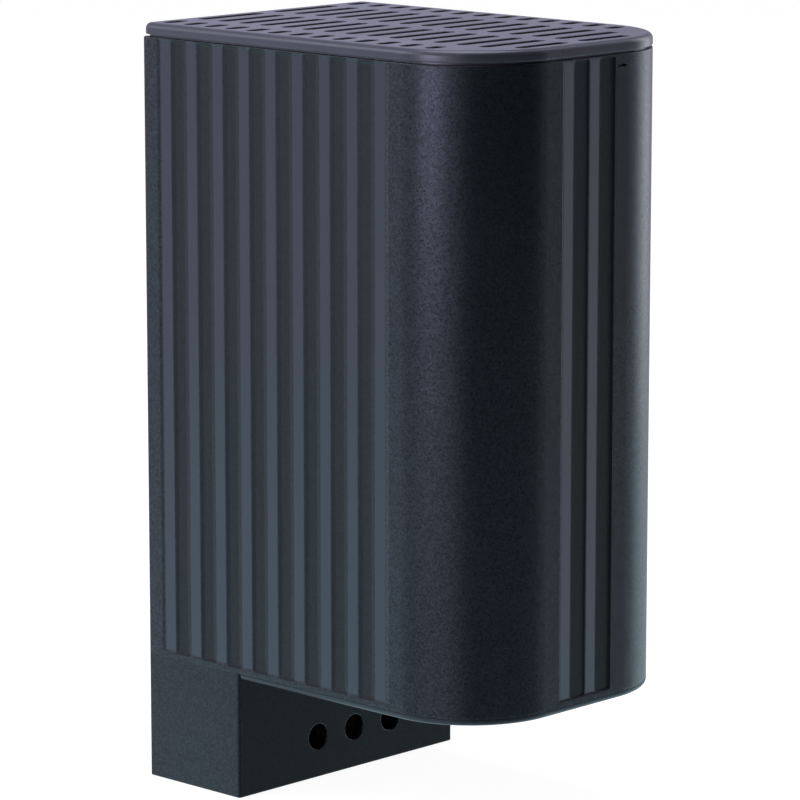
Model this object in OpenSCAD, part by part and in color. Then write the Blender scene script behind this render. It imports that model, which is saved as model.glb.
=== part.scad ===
// Touch-safe enclosure heater for a 35 mm top-hat rail.
// A moulded D-shaped casing, with a vent lid on top, a vent floor below and a
// terminal compartment under its rear, holds a finned profile with a PTC pack.
// Frame: X across the width, -Y to the front, +Z up. The origin is the middle
// of the rail, on the plane where the rail's flanges meet the clip.

/* [Housing] */
// Width over the two side walls
housing_w = 61.6; // [58:0.1:72]
// Depth from the rear wall to the front
housing_d = 89.2; // [84:0.1:110]
// Height of the duct, from the vent floor's rim to the lid seam
duct_h = 124.2; // [112:0.1:180]
// Radius of the two upright corners at the front
corner_r = 19.7; // [12:0.1:22]
// Radius of the upright corners at the rear and on the compartment
edge_r = 0.6; // [0.4:0.1:1.2]
// Wall thickness
wall = 2.2; // [1.8:0.1:2.8]
// Height of the rail's middle above the base
rail_up = 80; // [66:0.5:95]

/* [Ribs] */
// Width of one rib
rib_w = 3.2; // [2:0.1:4]
// Distance between the middles of two ribs
rib_pitch = 7.25; // [6:0.05:9]
// Depth of the ribbed panels below the skin
panel_depth = 0.1; // [0.05:0.05:0.4]
// Depth of the grooves between the ribs
groove_depth = 0.2; // [0.1:0.05:0.8]
// Middle of the first rib, from the rear wall
first_rib = 6.4; // [4:0.1:9]
// Plain lip above the panels
panel_head = 0.4; // [0.3:0.05:2]
// Plain band below the panels
panel_foot = 1.3; // [1:0.1:5]
// Sideways place of the front panel
front_panel_x = 0.2; // [-2:0.05:2]

/* [Terminal compartment] */
// Depth of the compartment
base_d = 25.8; // [24.5:0.1:32]
// Height of the compartment below the vent floor
base_h = 24.2; // [22:0.1:32]
// Distance between two poles
pole_pitch = 10.44; // [9:0.02:12]
// Sideways place of the middle pole
pole_x = 1.85; // [-4:0.05:4]
// Diameter of the screwdriver holes
access_d = 5.2; // [4.8:0.1:6]
// Height of the clamp screws above the base
access_z = 8.4; // [8:0.1:10]
// Diameter of the wire entries
entry_d = 5.2; // [4:0.1:6]
// Thickness of the base cover
cover_t = 2.2; // [1.6:0.1:2.6]
// Depth of the terminal body
term_d = 15; // [14:0.1:16]
// Height of the terminal body
term_h = 14; // [13:0.1:16]

/* [Grilles] */
// Height of the lid above the seam
lid_h = 2.3; // [2:0.1:4]
// Rounding of the lid's top edge
lid_round = 1.2; // [0.6:0.1:1.6]
// Radius of the lid's rear corners
lid_rear_r = 1.6; // [0.8:0.1:3]
// Height of the shadow seam under the lid
seam_h = 0.4; // [0.2:0.05:0.8]
// Depth of the shadow seam
seam_depth = 0.8; // [0.5:0.1:1.2]
// Depth of the lid's spigot inside the casing
spigot_h = 5; // [4:0.1:8]
// Thickness of both spigots
spigot_t = 1.4; // [1:0.1:2]
// Width of one vent slot
slot_w = 2.5; // [1.5:0.1:3]
// Distance between two rows of slots
slot_pitch = 5.79; // [4.5:0.01:8]
// Length of a slot beside the middle web
slot_l = 17.3; // [12:0.1:18]
// Web between two slots in a row
slot_web = 3.7; // [2.5:0.1:5]
// Plain rim round the lid's slots
slot_rim = 2.2; // [2:0.1:4]
// Height of the vent floor's rim under the casing
rim_h = 1.2; // [0.8:0.1:2]
// Rounding of the rim's bottom edge
rim_round = 1; // [0.3:0.1:1]
// Gap between the vent floor and the compartment
rim_gap = 0.5; // [0.3:0.1:1]
// Thickness of the vent floor
floor_t = 2.4; // [2:0.1:3]
// Height of the vent floor's spigot inside the casing
floor_spigot_h = 4; // [3:0.1:6]

/* [Heater] */
// Free height between the profile and the lid seam
room_above = 10; // [9:0.5:20]
// Thickness of the profile's core
core_t = 9; // [7:0.1:12]
// Length of one fin
fin_l = 20; // [12:0.5:24]
// Thickness of one fin
fin_t = 1.6; // [1:0.1:2.2]
// Distance between two fins
fin_pitch = 5.2; // [4:0.1:8]
// Thickness of the side flanges
flange_t = 3; // [2:0.1:4]
// Width of one PTC stone
ptc_w = 24; // [16:0.5:26]
// Thickness of one PTC stone
ptc_t = 2.1; // [1.5:0.1:2.6]
// Gap between two PTC stones
ptc_gap = 3; // [1:0.5:6]
// Thickness of the contact plates
plate_t = 0.6; // [0.4:0.05:0.8]
// Thickness of the insulating films
film_t = 0.2; // [0.1:0.05:0.3]
// Diameter of the inner leads
lead_d = 2.4; // [1.8:0.1:2.6]

/* [Rail clip] */
// Thickness of the clip's sheet
clip_t = 1.2; // [0.8:0.1:1.6]
// Width of the clip
clip_w = 26; // [24:0.5:36]
// Height of the rail
rail_h = 35; // [34:0.5:36]
// Gap that takes the rail's flange
flange_gap = 1.4; // [1.2:0.1:1.8]
// Length of the hooks behind the flange
hook_l = 2.2; // [1.6:0.1:2.4]
// Width of the spring tongue with the lower hook
tongue_w = 13; // [10:0.5:16]
// Width of the slits beside the tongue
slit_w = 1.2; // [0.8:0.1:2]
// Shank diameter of the clip screws
clip_screw_d = 2.9; // [2.5:0.1:3.5]

/* [Hidden] */
$fn = 64;
cut = 1;
fit_gap = 0.15;
slide_gap = 0.3;
thread_gap = 0.03;

// Main planes of the casing
rear_y = -clip_t;
front_y = rear_y - housing_d;
base_z = -rail_up;
rim_z = base_z + base_h;
duct_z = rim_z + rim_h;
seam_z = duct_z + duct_h;
inner_w = housing_w - 2 * wall;
base_front_y = rear_y - base_d;
base_inner_y = base_front_y + wall;
floor_rear_y = base_front_y - rim_gap;
upstand_z = duct_z + floor_spigot_h;

// Ribbed panels
side_ribs = floor((housing_d - corner_r - first_rib - rib_w / 2) / rib_pitch) + 1;
groove_w = rib_pitch - rib_w;
panel_z = duct_z + panel_foot;
panel_h = duct_h - panel_foot - panel_head;
side_panel_l = (side_ribs - 1) * rib_pitch + rib_w;
side_panel_y = rear_y - first_rib + rib_w / 2 - side_panel_l;
front_ribs = 2;
front_panel_w = front_ribs * rib_pitch;

// Slit in front of the lid's front catch, beside the front panel
catch_x = 9.5;
catch_w = 2.4;
catch_h = 0.4;
catch_drop = 2.2;
catch_depth = 0.3;

// Snap beads on the lid, the vent floor and the base cover
bead_proud = 0.35;
bead_h = 1;
bead_l = 24;
lid_bead_y = rear_y - housing_d / 2;
lid_bead_drop = 3;
lid_bead_z = seam_z - lid_bead_drop;
floor_bead_y = (floor_rear_y + front_y + corner_r) / 2;
floor_bead_z = duct_z + floor_spigot_h / 2;
cover_bead_y = rear_y - base_d / 2;
cover_bead_l = 10;
cover_bead_z = base_z + (cover_t - bead_h) / 2;

// Grilles: overlap of a rounded rim with its plate, flat pole in the middle of its
// rear corners, land outside the floor's slots and the shortest slot worth cutting
rim_overlap = 0.4;
pole_r = 0.1;
slot_land = 0.4;
least_slot = 1.2 * slot_w;
least_r = 0.3;

// Heating profile, from the lead's level up
lead_r = lead_d / 2;
lead_bend = 3;
bend_steps = 4;
lead_sides = 8;
lead_rise = 1;
lead_z = upstand_z + lead_rise + lead_r;
sleeve_w = 8;
sleeve_t = 3;
sleeve_h = 6;
barrel_wall = 0.7;
barrel_d = lead_d + 2 * barrel_wall;
barrel_l = 4;
barrel_seat = 2.5;
barrel_overlap = 1;
tab_w = 6.3;
tab_l = 7;
tab_x = 6;
tab_seat = 5;
sleeve_drop = tab_l - tab_seat + sleeve_h;
profile_z = lead_z + lead_bend + lead_rise + barrel_l + sleeve_drop;
sleeve_z = profile_z - sleeve_drop;
barrel_z = sleeve_z - barrel_l;
profile_top = seam_z - room_above;
profile_l = profile_top - profile_z;
core_y = rear_y - housing_d / 2;
rail_t = 2;
rail_proud = 3.6;
core_gap = 2;
core_w = inner_w - 2 * rail_proud - 2 * core_gap;
flange_w = inner_w - 2 * slide_gap;
fin_n = floor((core_w - fin_t) / fin_pitch) + 1;
pack_t = ptc_t + 2 * plate_t + 2 * film_t;
pack_play = 1;
pack_w = ptc_w + 2 * pack_play;
channel_d = 3.5;
channel_x = (pack_w + core_w) / 4;
ptc_n = 4;
ptc_margin = 3;
ptc_h = (profile_l - 2 * ptc_margin - (ptc_n - 1) * ptc_gap) / ptc_n;
plate_edge = 1.5;

// Terminals
poles = [for (k = [-1 : 1]) pole_x + k * pole_pitch];
screw_z = base_z + access_z;
term_z = base_z + cover_t;
term_y = base_inner_y + fit_gap;
term_w = 3 * pole_pitch;
term_floor = 2.4;
term_skin = 1.3;
clamp_w = 6.6;
clamp_d = 8;
clamp_y = term_y + term_d - term_skin - fit_gap - clamp_d;
clamp_z = term_z + term_floor;
clamp_sink = 2;
clamp_h = term_h - term_floor - clamp_sink;
clamp_top = clamp_z + clamp_h;
wire_d = 4;
wire_wall = 1.2;
wire_y = clamp_y + clamp_d - wire_d / 2 - wire_wall;
lead_seat = 3;
screw_d = 3.5;
screw_head_d = access_d - 2 * slide_gap;
screw_head_h = 2;
screw_tip_y = wire_y - wire_d / 2;
screw_sink = 1.6;
screw_head_y = term_y + screw_sink;
drive_w = 0.8;
post_w = 4;
post_t = 2;
post_h = 8;

// Earth connection under the profile
lug_d = 8.4;
lug_t = 0.8;
lug_reach = 9;
lug_barrel_y = core_y + lug_reach;
earth_head_d = 7;
earth_head_h = 2.2;
earth_screw_l = 9;

// Rail clip
hook_r = flange_gap / 2;
hook_play = 0.6;
hook_z = rail_h / 2 + hook_play - hook_r;
hook_flare = 1.2;
slit_z = -4;
wing_z = -12;
clip_screw_x = 8;
clip_screw_z = 6;
clip_screw_l = 8;
boss_d = 7;
boss_l = 6;

casing_black = [0.10, 0.11, 0.12];
lid_grey = [0.18, 0.18, 0.21];
terminal_black = [0.14, 0.14, 0.15];
alloy = [0.78, 0.79, 0.80];
brass = [0.75, 0.62, 0.35];
steel = [0.62, 0.63, 0.65];
ceramic_grey = [0.32, 0.32, 0.33];

// Plan of the casing, set in all round by a margin
module plan(inset = 0, rear = edge_r) {
    r = corner_r - inset;
    q = max(rear - inset, least_r);
    w = housing_w - 2 * inset;
    d = housing_d - 2 * inset;
    translate([0, rear_y - inset]) {
        translate([-w / 2, r - d]) square([w, d - r - q]);
        translate([q - w / 2, -q - cut]) square([w - 2 * q, q + cut]);
        translate([r - w / 2, -d]) square([w - 2 * r, r + cut]);
        for (s = [-1, 1]) {
            translate([s * (w / 2 - r), r - d]) circle(r);
            translate([s * (w / 2 - q), -q]) circle(q, $fn = 32);
        }
    }
}

// Half width of the set-in plan at one depth
function half_width(y, inset) =
    let (corner_y = front_y + corner_r, r = corner_r - inset)
    y >= corner_y ? housing_w / 2 - inset
                  : housing_w / 2 - corner_r + sqrt(max(0, r * r - (corner_y - y) * (corner_y - y)));

module block(x, y, z, size) {
    translate([x, y, z]) cube(size);
}

module mid_block(y, z, size) {
    block(-size[0] / 2, y, z, size);
}

module both_sides() {
    children();
    mirror([1, 0, 0]) children();
}

// Extrudes a drawing in the YZ plane across the width
module across(w) {
    translate([-w / 2, 0, 0]) rotate([90, 0, 90]) linear_extrude(w) children();
}

// Snap beads on two flanks, and the grooves in the walls that hold them
module beads(z, y, l) {
    both_sides()
        block(inner_w / 2 - fit_gap - cut, y - l / 2, z, [cut + bead_proud, l, bead_h]);
}

module bead_grooves(z, y, l) {
    both_sides()
        block(inner_w / 2 - cut, y - l / 2 - slide_gap, z - slide_gap,
              [cut + bead_proud, l + 2 * slide_gap, bead_h + 2 * slide_gap]);
}

// Vent slot with round ends, from one x to another
module slot(x0, x1, y) {
    r = slot_w / 2;
    translate([x0 + r, y - r]) square([x1 - x0 - slot_w, slot_w]);
    for (x = [x0 + r, x1 - r]) translate([x, y]) circle(r, $fn = 32);
}

// Rows of four slots between two depths, with ends that follow the round corners
module slot_rows(y_front, y_rear, rim) {
    room = y_rear - y_front - slot_w;
    n = floor(room / slot_pitch) + 1;
    start = (y_front + y_rear - (n - 1) * slot_pitch) / 2;
    outer = 1.5 * slot_web + slot_l;
    for (k = [0 : n - 1]) {
        y = start + k * slot_pitch;
        reach = half_width(y - slot_w / 2, rim);
        both_halves() {
            slot(slot_web / 2, min(slot_web / 2 + slot_l, reach), y);
            if (reach - outer > least_slot) slot(outer, reach, y);
        }
    }
}

module both_halves() {
    children();
    mirror([1, 0]) children();
}

// Ribbed panels: a shallow sunk field with deeper grooves between its ribs
module side_panel() {
    x = -housing_w / 2 - cut;
    block(x, side_panel_y, panel_z, [cut + panel_depth, side_panel_l, panel_h]);
    for (k = [0 : side_ribs - 2])
        block(x, side_panel_y + rib_w + k * rib_pitch, panel_z,
              [cut + panel_depth + groove_depth, groove_w, panel_h]);
}

module front_panel() {
    x = front_panel_x - front_panel_w / 2;
    y = front_y - cut;
    block(x, y, panel_z, [front_panel_w, cut + panel_depth, panel_h]);
    for (k = [0 : front_ribs - 1])
        block(x + rib_w + k * rib_pitch, y, panel_z, [groove_w, cut + panel_depth + groove_depth, panel_h]);
}

module catch_slit() {
    block(catch_x - catch_w / 2, front_y - cut, seam_z - catch_drop - catch_h / 2,
          [catch_w, cut + catch_depth, catch_h]);
}

// Upright rails that guide a flange of the profile, with a stop below it
module guide_rails() {
    gap = flange_t + 2 * slide_gap;
    x = inner_w / 2 - rail_proud;
    bottom = upstand_z + slide_gap;
    both_sides() {
        for (s = [-1, 1])
            block(x, core_y + s * (gap + rail_t) / 2 - rail_t / 2, bottom,
                  [rail_proud + wall / 2, rail_t, profile_top - bottom]);
        block(x, core_y - (gap + rail_t) / 2, bottom,
              [rail_proud + wall / 2, gap + rail_t, profile_z - bottom]);
    }
}

module clip_screw_places() {
    for (s = [-1, 1]) translate([s * clip_screw_x, 0, clip_screw_z]) rotate([90, 0, 0]) children();
}

module pole_screw_places(y) {
    for (x = poles) translate([x, y, screw_z]) rotate([-90, 0, 0]) children();
}

// Plan of the compartment below the duct
module base_plan() {
    q = edge_r;
    translate([0, base_front_y]) {
        translate([-housing_w / 2, q]) square([housing_w, base_d - 2 * q]);
        translate([q - housing_w / 2, 0]) square([housing_w - 2 * q, base_d]);
        for (x = [q - housing_w / 2, housing_w / 2 - q], y = [q, base_d - q])
            translate([x, y]) circle(q, $fn = 32);
    }
}

module casing_walls() {
    difference() {
        union() {
            translate([0, 0, duct_z]) linear_extrude(duct_h) plan();
            translate([0, 0, base_z]) linear_extrude(base_h + rim_h + cut) base_plan();
        }
        translate([0, 0, duct_z - cut]) linear_extrude(duct_h + 2 * cut) difference() {
            plan(wall);
            translate([-housing_w, base_front_y]) square([2 * housing_w, base_d]);
        }
        translate([0, 0, upstand_z]) linear_extrude(duct_h) plan(wall);
        mid_block(base_inner_y, base_z - cut, [inner_w, base_d - 2 * wall, upstand_z - base_z + 2 * cut]);
        both_sides() side_panel();
        front_panel();
        catch_slit();
        bead_grooves(lid_bead_z, lid_bead_y, bead_l);
        bead_grooves(floor_bead_z, floor_bead_y, bead_l);
        bead_grooves(cover_bead_z, cover_bead_y, cover_bead_l);
    }
}

module housing() {
    color(casing_black) difference() {
        union() {
            casing_walls();
            guide_rails();
            clip_screw_places()
                translate([0, 0, clip_t + wall / 2]) cylinder(d = boss_d, h = wall / 2 + boss_l);
        }
        pole_screw_places(base_front_y - cut) cylinder(d = access_d, h = wall + 2 * cut);
        clip_screw_places() cylinder(d = clip_screw_d + 2 * thread_gap, h = clip_t + clip_screw_l + cut);
    }
}

// Section of a plate's rim, with its outer top edge rounded
module rim_section(h, round, depth) {
    square([depth, h - round]);
    square([depth - round, h]);
    translate([depth - round, h - round]) intersection() {
        circle(round);
        square(round);
    }
}

// Plate on the casing's plan with a rounded top edge: straight rims and swept corners
module rounded_plate(h, round, rear) {
    depth = round + rim_overlap;
    linear_extrude(h) plan(round + rim_overlap / 2, rear);
    both_sides() {
        translate([housing_w / 2 - depth, rear_y - rear, 0]) rotate([90, 0, 0])
            linear_extrude(housing_d - corner_r - rear) rim_section(h, round, depth);
        translate([housing_w / 2 - corner_r, front_y + corner_r, 0]) rotate([0, 0, -90])
            rotate_extrude(angle = 90) translate([corner_r - depth, 0]) rim_section(h, round, depth);
        translate([housing_w / 2 - rear, rear_y - rear, 0])
            rotate_extrude(angle = 90) rim_section(h, min(round, rear - pole_r), rear);
    }
    translate([0, front_y + depth, 0]) mirror([0, 1, 0])
        across(housing_w - 2 * corner_r) rim_section(h, round, depth);
    translate([0, rear_y - depth, 0]) across(housing_w - 2 * rear) rim_section(h, round, depth);
}

module spigot_plan() {
    difference() {
        plan(wall + fit_gap);
        plan(wall + fit_gap + spigot_t);
    }
}

// Posts under the lid that hold the profile down on its stops
module lid_posts() {
    bottom = profile_top + slide_gap;
    both_sides()
        block(inner_w / 2 - rail_proud, core_y - flange_t / 2, bottom,
              [rail_proud - fit_gap, flange_t, seam_z - bottom]);
}

module top_grille() {
    color(lid_grey) {
        difference() {
            union() {
                translate([0, 0, seam_z + seam_h]) rounded_plate(lid_h, lid_round, lid_rear_r);
                translate([0, 0, seam_z]) linear_extrude(seam_h + lid_h / 2) plan(seam_depth, lid_rear_r);
            }
            translate([0, 0, seam_z - cut]) linear_extrude(lid_h + seam_h + 2 * cut)
                slot_rows(front_y + slot_rim, rear_y - slot_rim, slot_rim);
        }
        translate([0, 0, seam_z - spigot_h]) linear_extrude(spigot_h) spigot_plan();
        beads(lid_bead_z, lid_bead_y, bead_l);
        lid_posts();
    }
}

// Everything in front of the compartment
module before_base(h) {
    block(-housing_w, 2 * front_y, rim_z - cut, [2 * housing_w, floor_rear_y - 2 * front_y, h]);
}

module bottom_grille() {
    rim = wall + fit_gap + spigot_t + slot_land;
    color(casing_black) {
        intersection() {
            before_base(floor_spigot_h + 4 * cut + rim_h);
            union() {
                difference() {
                    union() {
                        translate([0, 0, duct_z]) mirror([0, 0, 1]) rounded_plate(rim_h, rim_round, edge_r);
                        translate([0, 0, duct_z - rim_h / 2])
                            linear_extrude(floor_t - rim_h / 2) plan(wall + fit_gap);
                    }
                    translate([0, 0, rim_z - cut]) linear_extrude(floor_t + 2 * cut)
                        slot_rows(front_y + rim, floor_rear_y - spigot_t, rim);
                }
                translate([0, 0, duct_z]) linear_extrude(floor_spigot_h) spigot_plan();
            }
        }
        mid_block(floor_rear_y - spigot_t, duct_z, [inner_w - 2 * fit_gap, spigot_t, floor_spigot_h]);
        beads(floor_bead_z, floor_bead_y, bead_l);
    }
}

module base_cover() {
    w = inner_w - 2 * fit_gap;
    d = base_d - 2 * wall - 2 * fit_gap;
    color(casing_black) {
        difference() {
            mid_block(base_inner_y + fit_gap, base_z, [w, d, cover_t]);
            for (x = poles) translate([x, wire_y, base_z - cut]) cylinder(d = entry_d, h = cover_t + 2 * cut);
        }
        beads(cover_bead_z, cover_bead_y, cover_bead_l);
        for (s = [-1, 1])
            block(pole_x + s * pole_pitch - post_w / 2, term_y + term_d + fit_gap, base_z + cover_t / 2,
                  [post_w, post_t, cover_t / 2 + post_h]);
    }
}

// Section of the extrusion: core with a slot for the pack, fins and side flanges
module profile_section() {
    fin_span = (fin_n - 1) * fin_pitch;
    difference() {
        union() {
            translate([-core_w / 2, core_y - core_t / 2]) square([core_w, core_t]);
            translate([-flange_w / 2, core_y - flange_t / 2]) square([flange_w, flange_t]);
            for (k = [0 : fin_n - 1])
                translate([k * fin_pitch - fin_span / 2 - fin_t / 2, core_y - core_t / 2 - fin_l])
                    square([fin_t, core_t + 2 * fin_l]);
        }
        translate([-pack_w / 2, core_y - pack_t / 2]) square([pack_w, pack_t]);
        for (s = [-1, 1]) translate([s * channel_x, core_y]) circle(d = channel_d);
    }
}

module heater_profile() {
    color(alloy) translate([0, 0, profile_z]) linear_extrude(profile_l) profile_section();
}

module ptc_stone(k) {
    z = profile_z + ptc_margin + (k - 1) * (ptc_h + ptc_gap);
    color(ceramic_grey) mid_block(core_y - ptc_t / 2, z, [ptc_w, ptc_t, ptc_h]);
}

// Contact plate on one face of the stones, with a blade below the profile
module contact_plate(side) {
    y = core_y + side * (ptc_t + plate_t) / 2 - plate_t / 2;
    z = profile_z + plate_edge;
    color(alloy) {
        mid_block(y, z, [ptc_w, plate_t, profile_l - 2 * plate_edge]);
        block(side * tab_x - tab_w / 2, y, profile_z - tab_l, [tab_w, plate_t, tab_l + 2 * plate_edge]);
    }
}

module film(side) {
    y = core_y + side * (pack_t - film_t) / 2 - film_t / 2;
    color([0.75, 0.45, 0.12]) mid_block(y, profile_z, [pack_w, film_t, profile_l]);
}

module terminal_body() {
    color(terminal_black) difference() {
        block(pole_x - term_w / 2, term_y, term_z, [term_w, term_d, term_h]);
        for (x = poles) {
            block(x - clamp_w / 2 - fit_gap, clamp_y - fit_gap, clamp_z,
                  [clamp_w + 2 * fit_gap, clamp_d + 2 * fit_gap, term_h]);
            translate([x, wire_y, term_z - cut]) cylinder(d = entry_d + 2 * slide_gap, h = term_floor + 2 * cut);
        }
        pole_screw_places(term_y - cut) cylinder(d = access_d + 2 * fit_gap, h = clamp_y - term_y + cut);
    }
}

// Clamp with an upright bore for the wire, a narrow seat for the inner lead above it
// and a threaded hole from the front
module clamp(pole) {
    x = poles[pole];
    color(brass) difference() {
        block(x - clamp_w / 2, clamp_y, clamp_z, [clamp_w, clamp_d, clamp_h]);
        translate([x, wire_y, clamp_z - cut]) cylinder(d = wire_d, h = clamp_h - lead_seat + cut);
        translate([x, wire_y, clamp_z]) cylinder(d = lead_d + 2 * thread_gap, h = clamp_h + cut);
        translate([x, clamp_y - cut, screw_z]) rotate([-90, 0, 0])
            cylinder(d = screw_d + 2 * thread_gap, h = wire_y - clamp_y + cut);
    }
}

module clamp_screws() {
    shank = screw_tip_y - screw_head_y;
    color(steel) pole_screw_places(screw_head_y) difference() {
        union() {
            cylinder(d = screw_head_d, h = screw_head_h);
            cylinder(d = screw_d, h = shank);
        }
        translate([-screw_head_d, -drive_w / 2, -cut]) cube([2 * screw_head_d, drive_w, cut + screw_head_h / 2]);
    }
}

// Push-on sleeve on a contact blade, with a crimp barrel below it
module sleeve(side) {
    x = side * tab_x;
    blade_y = core_y + side * (ptc_t + plate_t) / 2;
    color(brass) difference() {
        union() {
            block(x - sleeve_w / 2, blade_y - sleeve_t / 2, sleeve_z, [sleeve_w, sleeve_t, sleeve_h]);
            translate([x, blade_y, barrel_z]) cylinder(d = barrel_d, h = barrel_l + barrel_overlap);
        }
        block(x - tab_w / 2 - thread_gap, blade_y - plate_t / 2 - thread_gap, profile_z - tab_l - thread_gap,
              [tab_w + 2 * thread_gap, plate_t + 2 * thread_gap, tab_l + cut]);
        translate([x, blade_y, barrel_z - cut])
            cylinder(d = lead_d + 2 * thread_gap, h = barrel_seat + thread_gap + cut);
    }
}

module earth_lug() {
    z = profile_z - lug_t;
    color(steel) difference() {
        union() {
            translate([channel_x, core_y, z]) cylinder(d = lug_d, h = lug_t);
            block(channel_x - barrel_d / 2, core_y, z, [barrel_d, lug_reach, lug_t]);
            translate([channel_x, lug_barrel_y, barrel_z]) cylinder(d = barrel_d, h = profile_z - barrel_z);
        }
        translate([channel_x, core_y, z - cut]) cylinder(d = channel_d + 2 * thread_gap, h = lug_t + 2 * cut);
        translate([channel_x, lug_barrel_y, barrel_z - cut])
            cylinder(d = lead_d + 2 * thread_gap, h = barrel_seat + thread_gap + cut);
    }
}

module earth_screw() {
    color(steel) translate([channel_x, core_y, profile_z - lug_t - earth_head_h]) difference() {
        union() {
            cylinder(d = earth_head_d, h = earth_head_h);
            cylinder(d = channel_d - 2 * thread_gap, h = earth_head_h + earth_screw_l);
        }
        translate([-earth_head_d, -drive_w / 2, -cut]) cube([2 * earth_head_d, drive_w, cut + earth_head_h / 2]);
    }
}

// Route of an inner lead in one upright plane: up from its clamp, across, up to its end.
// Each bend is a quadratic curve between the points one bend radius before and after the corner.
function corner(a, c, b) =
    let (p = c + lead_bend * (a - c) / norm(a - c), q = c + lead_bend * (b - c) / norm(b - c))
    [for (i = [0 : bend_steps]) let (t = i / bend_steps) (1 - t) * (1 - t) * p + 2 * t * (1 - t) * c + t * t * q];

function route(a, b) =
    let (low = [a[0], a[1], lead_z], high = [b[0], b[1], lead_z])
    concat([a], corner(a, low, high), corner(low, high, b), [b]);

function along(path, i) =
    let (d = path[min(i + 1, len(path) - 1)] - path[max(i - 1, 0)]) d / norm(d);

module lead(a, b) {
    path = route(a, b);
    run = [b[0] - a[0], b[1] - a[1], 0];
    side = cross([0, 0, 1], run / norm(run));
    rings = len(path);
    points = [for (i = [0 : rings - 1]) let (up = cross(along(path, i), side))
        for (k = [0 : lead_sides - 1]) let (w = 360 * k / lead_sides)
            path[i] + lead_r * (cos(w) * side + sin(w) * up)];
    walls = [for (i = [0 : rings - 2]) for (k = [0 : lead_sides - 1])
        let (m = (k + 1) % lead_sides, p = i * lead_sides, q = p + lead_sides)
            [p + k, q + k, q + m, p + m]];
    ends = [[for (k = [0 : lead_sides - 1]) k],
            [for (k = [lead_sides - 1 : -1 : 0]) (rings - 1) * lead_sides + k]];
    polyhedron(points, concat(walls, ends));
}

function clamp_end(pole) = [poles[pole], wire_y, clamp_top - lead_seat];
function sleeve_end(side) = [side * tab_x, core_y + side * (ptc_t + plate_t) / 2, barrel_z + barrel_seat];

module live_lead() {
    color("sienna") lead(clamp_end(0), sleeve_end(-1));
}

module neutral_lead() {
    color("steelblue") lead(clamp_end(1), sleeve_end(1));
}

module earth_lead() {
    color("yellowgreen") lead(clamp_end(2), [channel_x, lug_barrel_y, barrel_z + barrel_seat]);
}

// Edge of the folded sheet: U-shaped hook over a flange, with a flared tip
module hook_edge() {
    turn = hook_r + clip_t;
    lip_z = hook_z - hook_l;
    translate([hook_r, hook_z]) intersection() {
        difference() {
            circle(turn);
            circle(hook_r);
        }
        translate([-2 * turn, 0]) square([4 * turn, 2 * turn]);
    }
    translate([flange_gap, lip_z]) square([clip_t, hook_l]);
    polygon([[flange_gap, lip_z], [flange_gap + clip_t, lip_z],
             [flange_gap + clip_t + hook_flare / 2, lip_z - hook_flare],
             [flange_gap + hook_flare / 2, lip_z - hook_flare]]);
}

module rail_clip() {
    csk_d = clip_screw_d + 2 * clip_t;
    color(steel) difference() {
        union() {
            mid_block(-clip_t, slit_z, [clip_w, clip_t, hook_z - slit_z]);
            mid_block(-clip_t, -hook_z, [tongue_w, clip_t, hook_z + slit_z]);
            both_sides()
                block(tongue_w / 2 + slit_w, -clip_t, wing_z,
                      [(clip_w - tongue_w) / 2 - slit_w, clip_t, slit_z - wing_z]);
            across(clip_w) hook_edge();
            mirror([0, 0, 1]) across(tongue_w) hook_edge();
        }
        clip_screw_places() {
            translate([0, 0, -cut]) cylinder(d = clip_screw_d + 2 * thread_gap, h = clip_t + 2 * cut);
            cylinder(d1 = csk_d + 2 * thread_gap, d2 = clip_screw_d + 2 * thread_gap, h = clip_t);
        }
    }
}

module clip_screws() {
    csk_d = clip_screw_d + 2 * clip_t;
    color(steel) clip_screw_places() difference() {
        union() {
            cylinder(d1 = csk_d, d2 = clip_screw_d, h = clip_t);
            cylinder(d = clip_screw_d, h = clip_t + clip_screw_l);
        }
        for (w = [0, 90]) rotate([0, 0, w])
            translate([-csk_d / 4, -drive_w / 2, -cut]) cube([csk_d / 2, drive_w, cut + clip_t / 2]);
    }
}

housing();
top_grille();
bottom_grille();
base_cover();
heater_profile();
for (k = [1 : ptc_n]) ptc_stone(k);
contact_plate(-1);  // live_plate
contact_plate(1);  // neutral_plate
film(-1);  // front_film
film(1);  // rear_film
terminal_body();
clamp(0);  // live_clamp
clamp(1);  // neutral_clamp
clamp(2);  // earth_clamp
clamp_screws();
live_lead();
neutral_lead();
earth_lead();
sleeve(-1);  // live_sleeve
sleeve(1);  // neutral_sleeve
earth_lug();
earth_screw();
rail_clip();
clip_screws();
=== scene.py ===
"""Looks of a touch-safe enclosure heater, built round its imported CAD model."""
import math

import bmesh
import bpy
import numpy as np
from bpy.props import FloatProperty, FloatVectorProperty, PointerProperty
from mathutils import Matrix, Vector, geometry


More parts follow.
